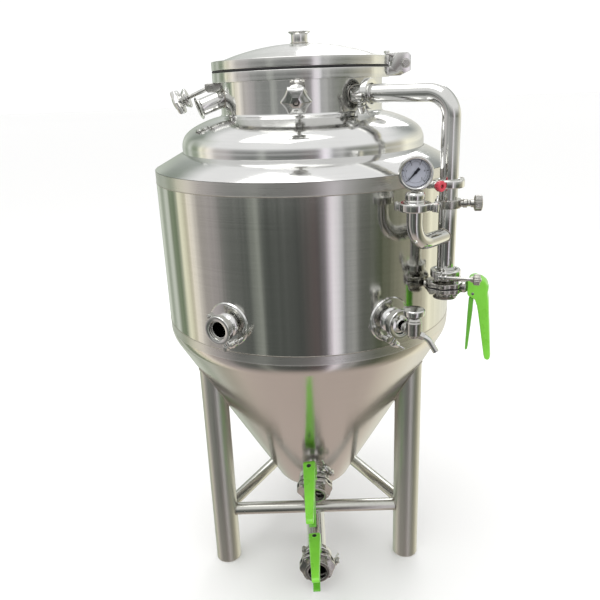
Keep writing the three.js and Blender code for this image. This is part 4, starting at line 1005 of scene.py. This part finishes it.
w = bpy.data.worlds.new("studio")
bpy.context.scene.world = w
w.use_nodes = True
nt = w.node_tree
bg = nt.nodes["Background"]
tc = N(nt, "ShaderNodeTexCoord")
s = N(nt, "ShaderNodeSeparateXYZ")
nt.links.new(tc.outputs["Generated"], s.inputs[0])
ang = math_node(nt, "ARCTAN2", s.outputs[0], math_node(nt, "MULTIPLY", s.outputs[1], -1.0))   # 0 at the front, + to the right
u = math_node(nt, "ADD", math_node(nt, "DIVIDE", ang, 2 * math.pi), 0.5)
D = lambda deg: 0.5 + deg / 360.0
stops = [(0.0, (0.30, 0.34, 0.28)), (D(-168), (0.36, 0.41, 0.33)), (D(-152), (0.75, 0.80, 0.70)), (D(-140), (0.42, 0.47, 0.38)), (D(-131), (0.80, 0.84, 0.76)), (D(-124), (0.30, 0.36, 0.25)), (D(-117), (0.22, 0.28, 0.18)),
         (D(-113), (0.5, 0.54, 0.42)), (D(-109), (1.3, 1.27, 1.0)), (D(-103), (0.7, 0.66, 0.5)), (D(-100), (1.3, 1.2, 1.05)), (D(-94), (1.05, 0.98, 0.9)),
         (D(-88), (0.56, 0.52, 0.49)), (D(-74), (0.50, 0.46, 0.46)), (D(-64), (0.22, 0.225, 0.215)), (D(-45), (0.135, 0.145, 0.135)), (D(-36), (0.42, 0.44, 0.40)), (D(-33), (0.13, 0.14, 0.13)), (D(-5), (0.105, 0.11, 0.105)),
         (D(6), (0.16, 0.13, 0.13)), (D(12), (0.14, 0.13, 0.135)), (D(16), (0.62, 0.56, 0.62)), (D(19), (1.3, 1.2, 1.32)), (D(23), (1.0, 0.98, 1.04)), (D(27), (0.36, 0.36, 0.37)), (D(35), (0.50, 0.50, 0.49)), (D(40), (0.2, 0.205, 0.19)),
         (D(58), (0.12, 0.135, 0.09)), (D(100), (0.62, 0.58, 0.45)), (D(110), (1.3, 1.25, 1.0)), (D(140), (1.05, 1.03, 0.9)), (1.0, (0.55, 0.56, 0.5))]
side = ramp(nt, u, stops)
high = ramp(nt, math_node(nt, "ADD", math_node(nt, "MULTIPLY", s.outputs[2], 0.5), 0.5), [(0.0, grey(0)), (0.425, grey(0)), (0.45, grey(0.42)), (0.47, grey(0.42)), (0.495, grey(0.12)), (0.55, grey(0.25)), (0.68, grey(1)), (1.0, grey(1))])
low = ramp(nt, math_node(nt, "ADD", math_node(nt, "MULTIPLY", s.outputs[2], 0.5), 0.5), [(0.0, grey(1)), (0.05, grey(0.9)), (0.16, grey(0)), (1.0, grey(0))])
back = ramp(nt, u, [(0.0, (1.0, 1.0, 1.0)), (D(-170), (0.80, 0.82, 0.80)), (D(-160), (0.42, 0.45, 0.42)), (D(-138), (0.30, 0.34, 0.29)), (D(-112), (0.75, 0.78, 0.72)), (D(-92), (1.0, 1.0, 1.0)),
                      (D(92), (1.0, 1.0, 1.0)), (D(118), (0.72, 0.74, 0.72)), (D(142), (0.36, 0.38, 0.37)), (D(160), (0.5, 0.52, 0.5)), (D(171), (0.9, 0.9, 0.9)), (1.0, (1.0, 1.0, 1.0))])
top = ramp(nt, s.outputs[2], [(0.0, grey(0)), (0.5, grey(0)), (0.68, grey(1)), (1.0, grey(1))])
mt = N(nt, "ShaderNodeMix", data_type="RGBA")
nt.links.new(top, mt.inputs["Factor"]); nt.links.new(back, mt.inputs[6]); mt.inputs[7].default_value = (1.0, 1.0, 1.0, 1)
mx = N(nt, "ShaderNodeMix", data_type="RGBA")
nt.links.new(high, mx.inputs["Factor"]); nt.links.new(side, mx.inputs[6]); nt.links.new(mt.outputs[2], mx.inputs[7])
ml = N(nt, "ShaderNodeMix", data_type="RGBA")
nt.links.new(low, ml.inputs["Factor"]); nt.links.new(mx.outputs[2], ml.inputs[6]); ml.inputs[7].default_value = (0.66, 0.57, 0.52, 1)
lp = N(nt, "ShaderNodeLightPath")
mc = N(nt, "ShaderNodeMix", data_type="RGBA")
nt.links.new(lp.outputs["Is Glossy Ray"], mc.inputs["Factor"])
mc.inputs[6].default_value = (1.07, 1.07, 1.07, 1)
nt.links.new(ml.outputs[2], mc.inputs[7])
nt.links.new(mc.outputs[2], bg.inputs["Color"])
bg.inputs["Strength"].default_value = 1.0


def area(name, loc, target, size, power, color=(1, 1, 1)):
    L = bpy.data.lights.new(name, "AREA")
    L.shape = "RECTANGLE"; L.size, L.size_y = size; L.energy = power; L.color = color
    o = bpy.data.objects.new(name, L)
    bpy.context.scene.collection.objects.link(o)
    o.location = loc
    o.rotation_euler = (Vector(target) - Vector(loc)).to_track_quat("-Z", "Y").to_euler()
    return o


area("soft_top", (-0.6, -0.6, 3.6), (0, 0, 0.7), (2.2, 2.2), 30, (1, 0.99, 0.97))
area("soft_back", (0.8, 2.6, 2.8), (0, 0, 0.9), (1.6, 1.2), 18)

# ------------------------------------------------------------------- camera
fwd = V(-0.01296, 0.94611, -0.32357).normalized()
r2 = V(0.99933, 0.00117, -0.03661)
r2 = (r2 - fwd * r2.dot(fwd)).normalized()
d2 = fwd.cross(r2)
cam = bpy.data.cameras.new("camera")
cam.lens = 37.863; cam.sensor_width = 36.0; cam.clip_end = 60
co = bpy.data.objects.new("camera", cam)
bpy.context.scene.collection.objects.link(co)
R = Matrix((r2, -d2, -fwd)).transposed().to_4x4()
R.translation = V((0 + AX) * K, (-1589.7 + AY) * K, 1242.4 * K)
co.matrix_world = R
bpy.context.scene.camera = co
bpy.context.scene.view_settings.view_transform = "Standard"
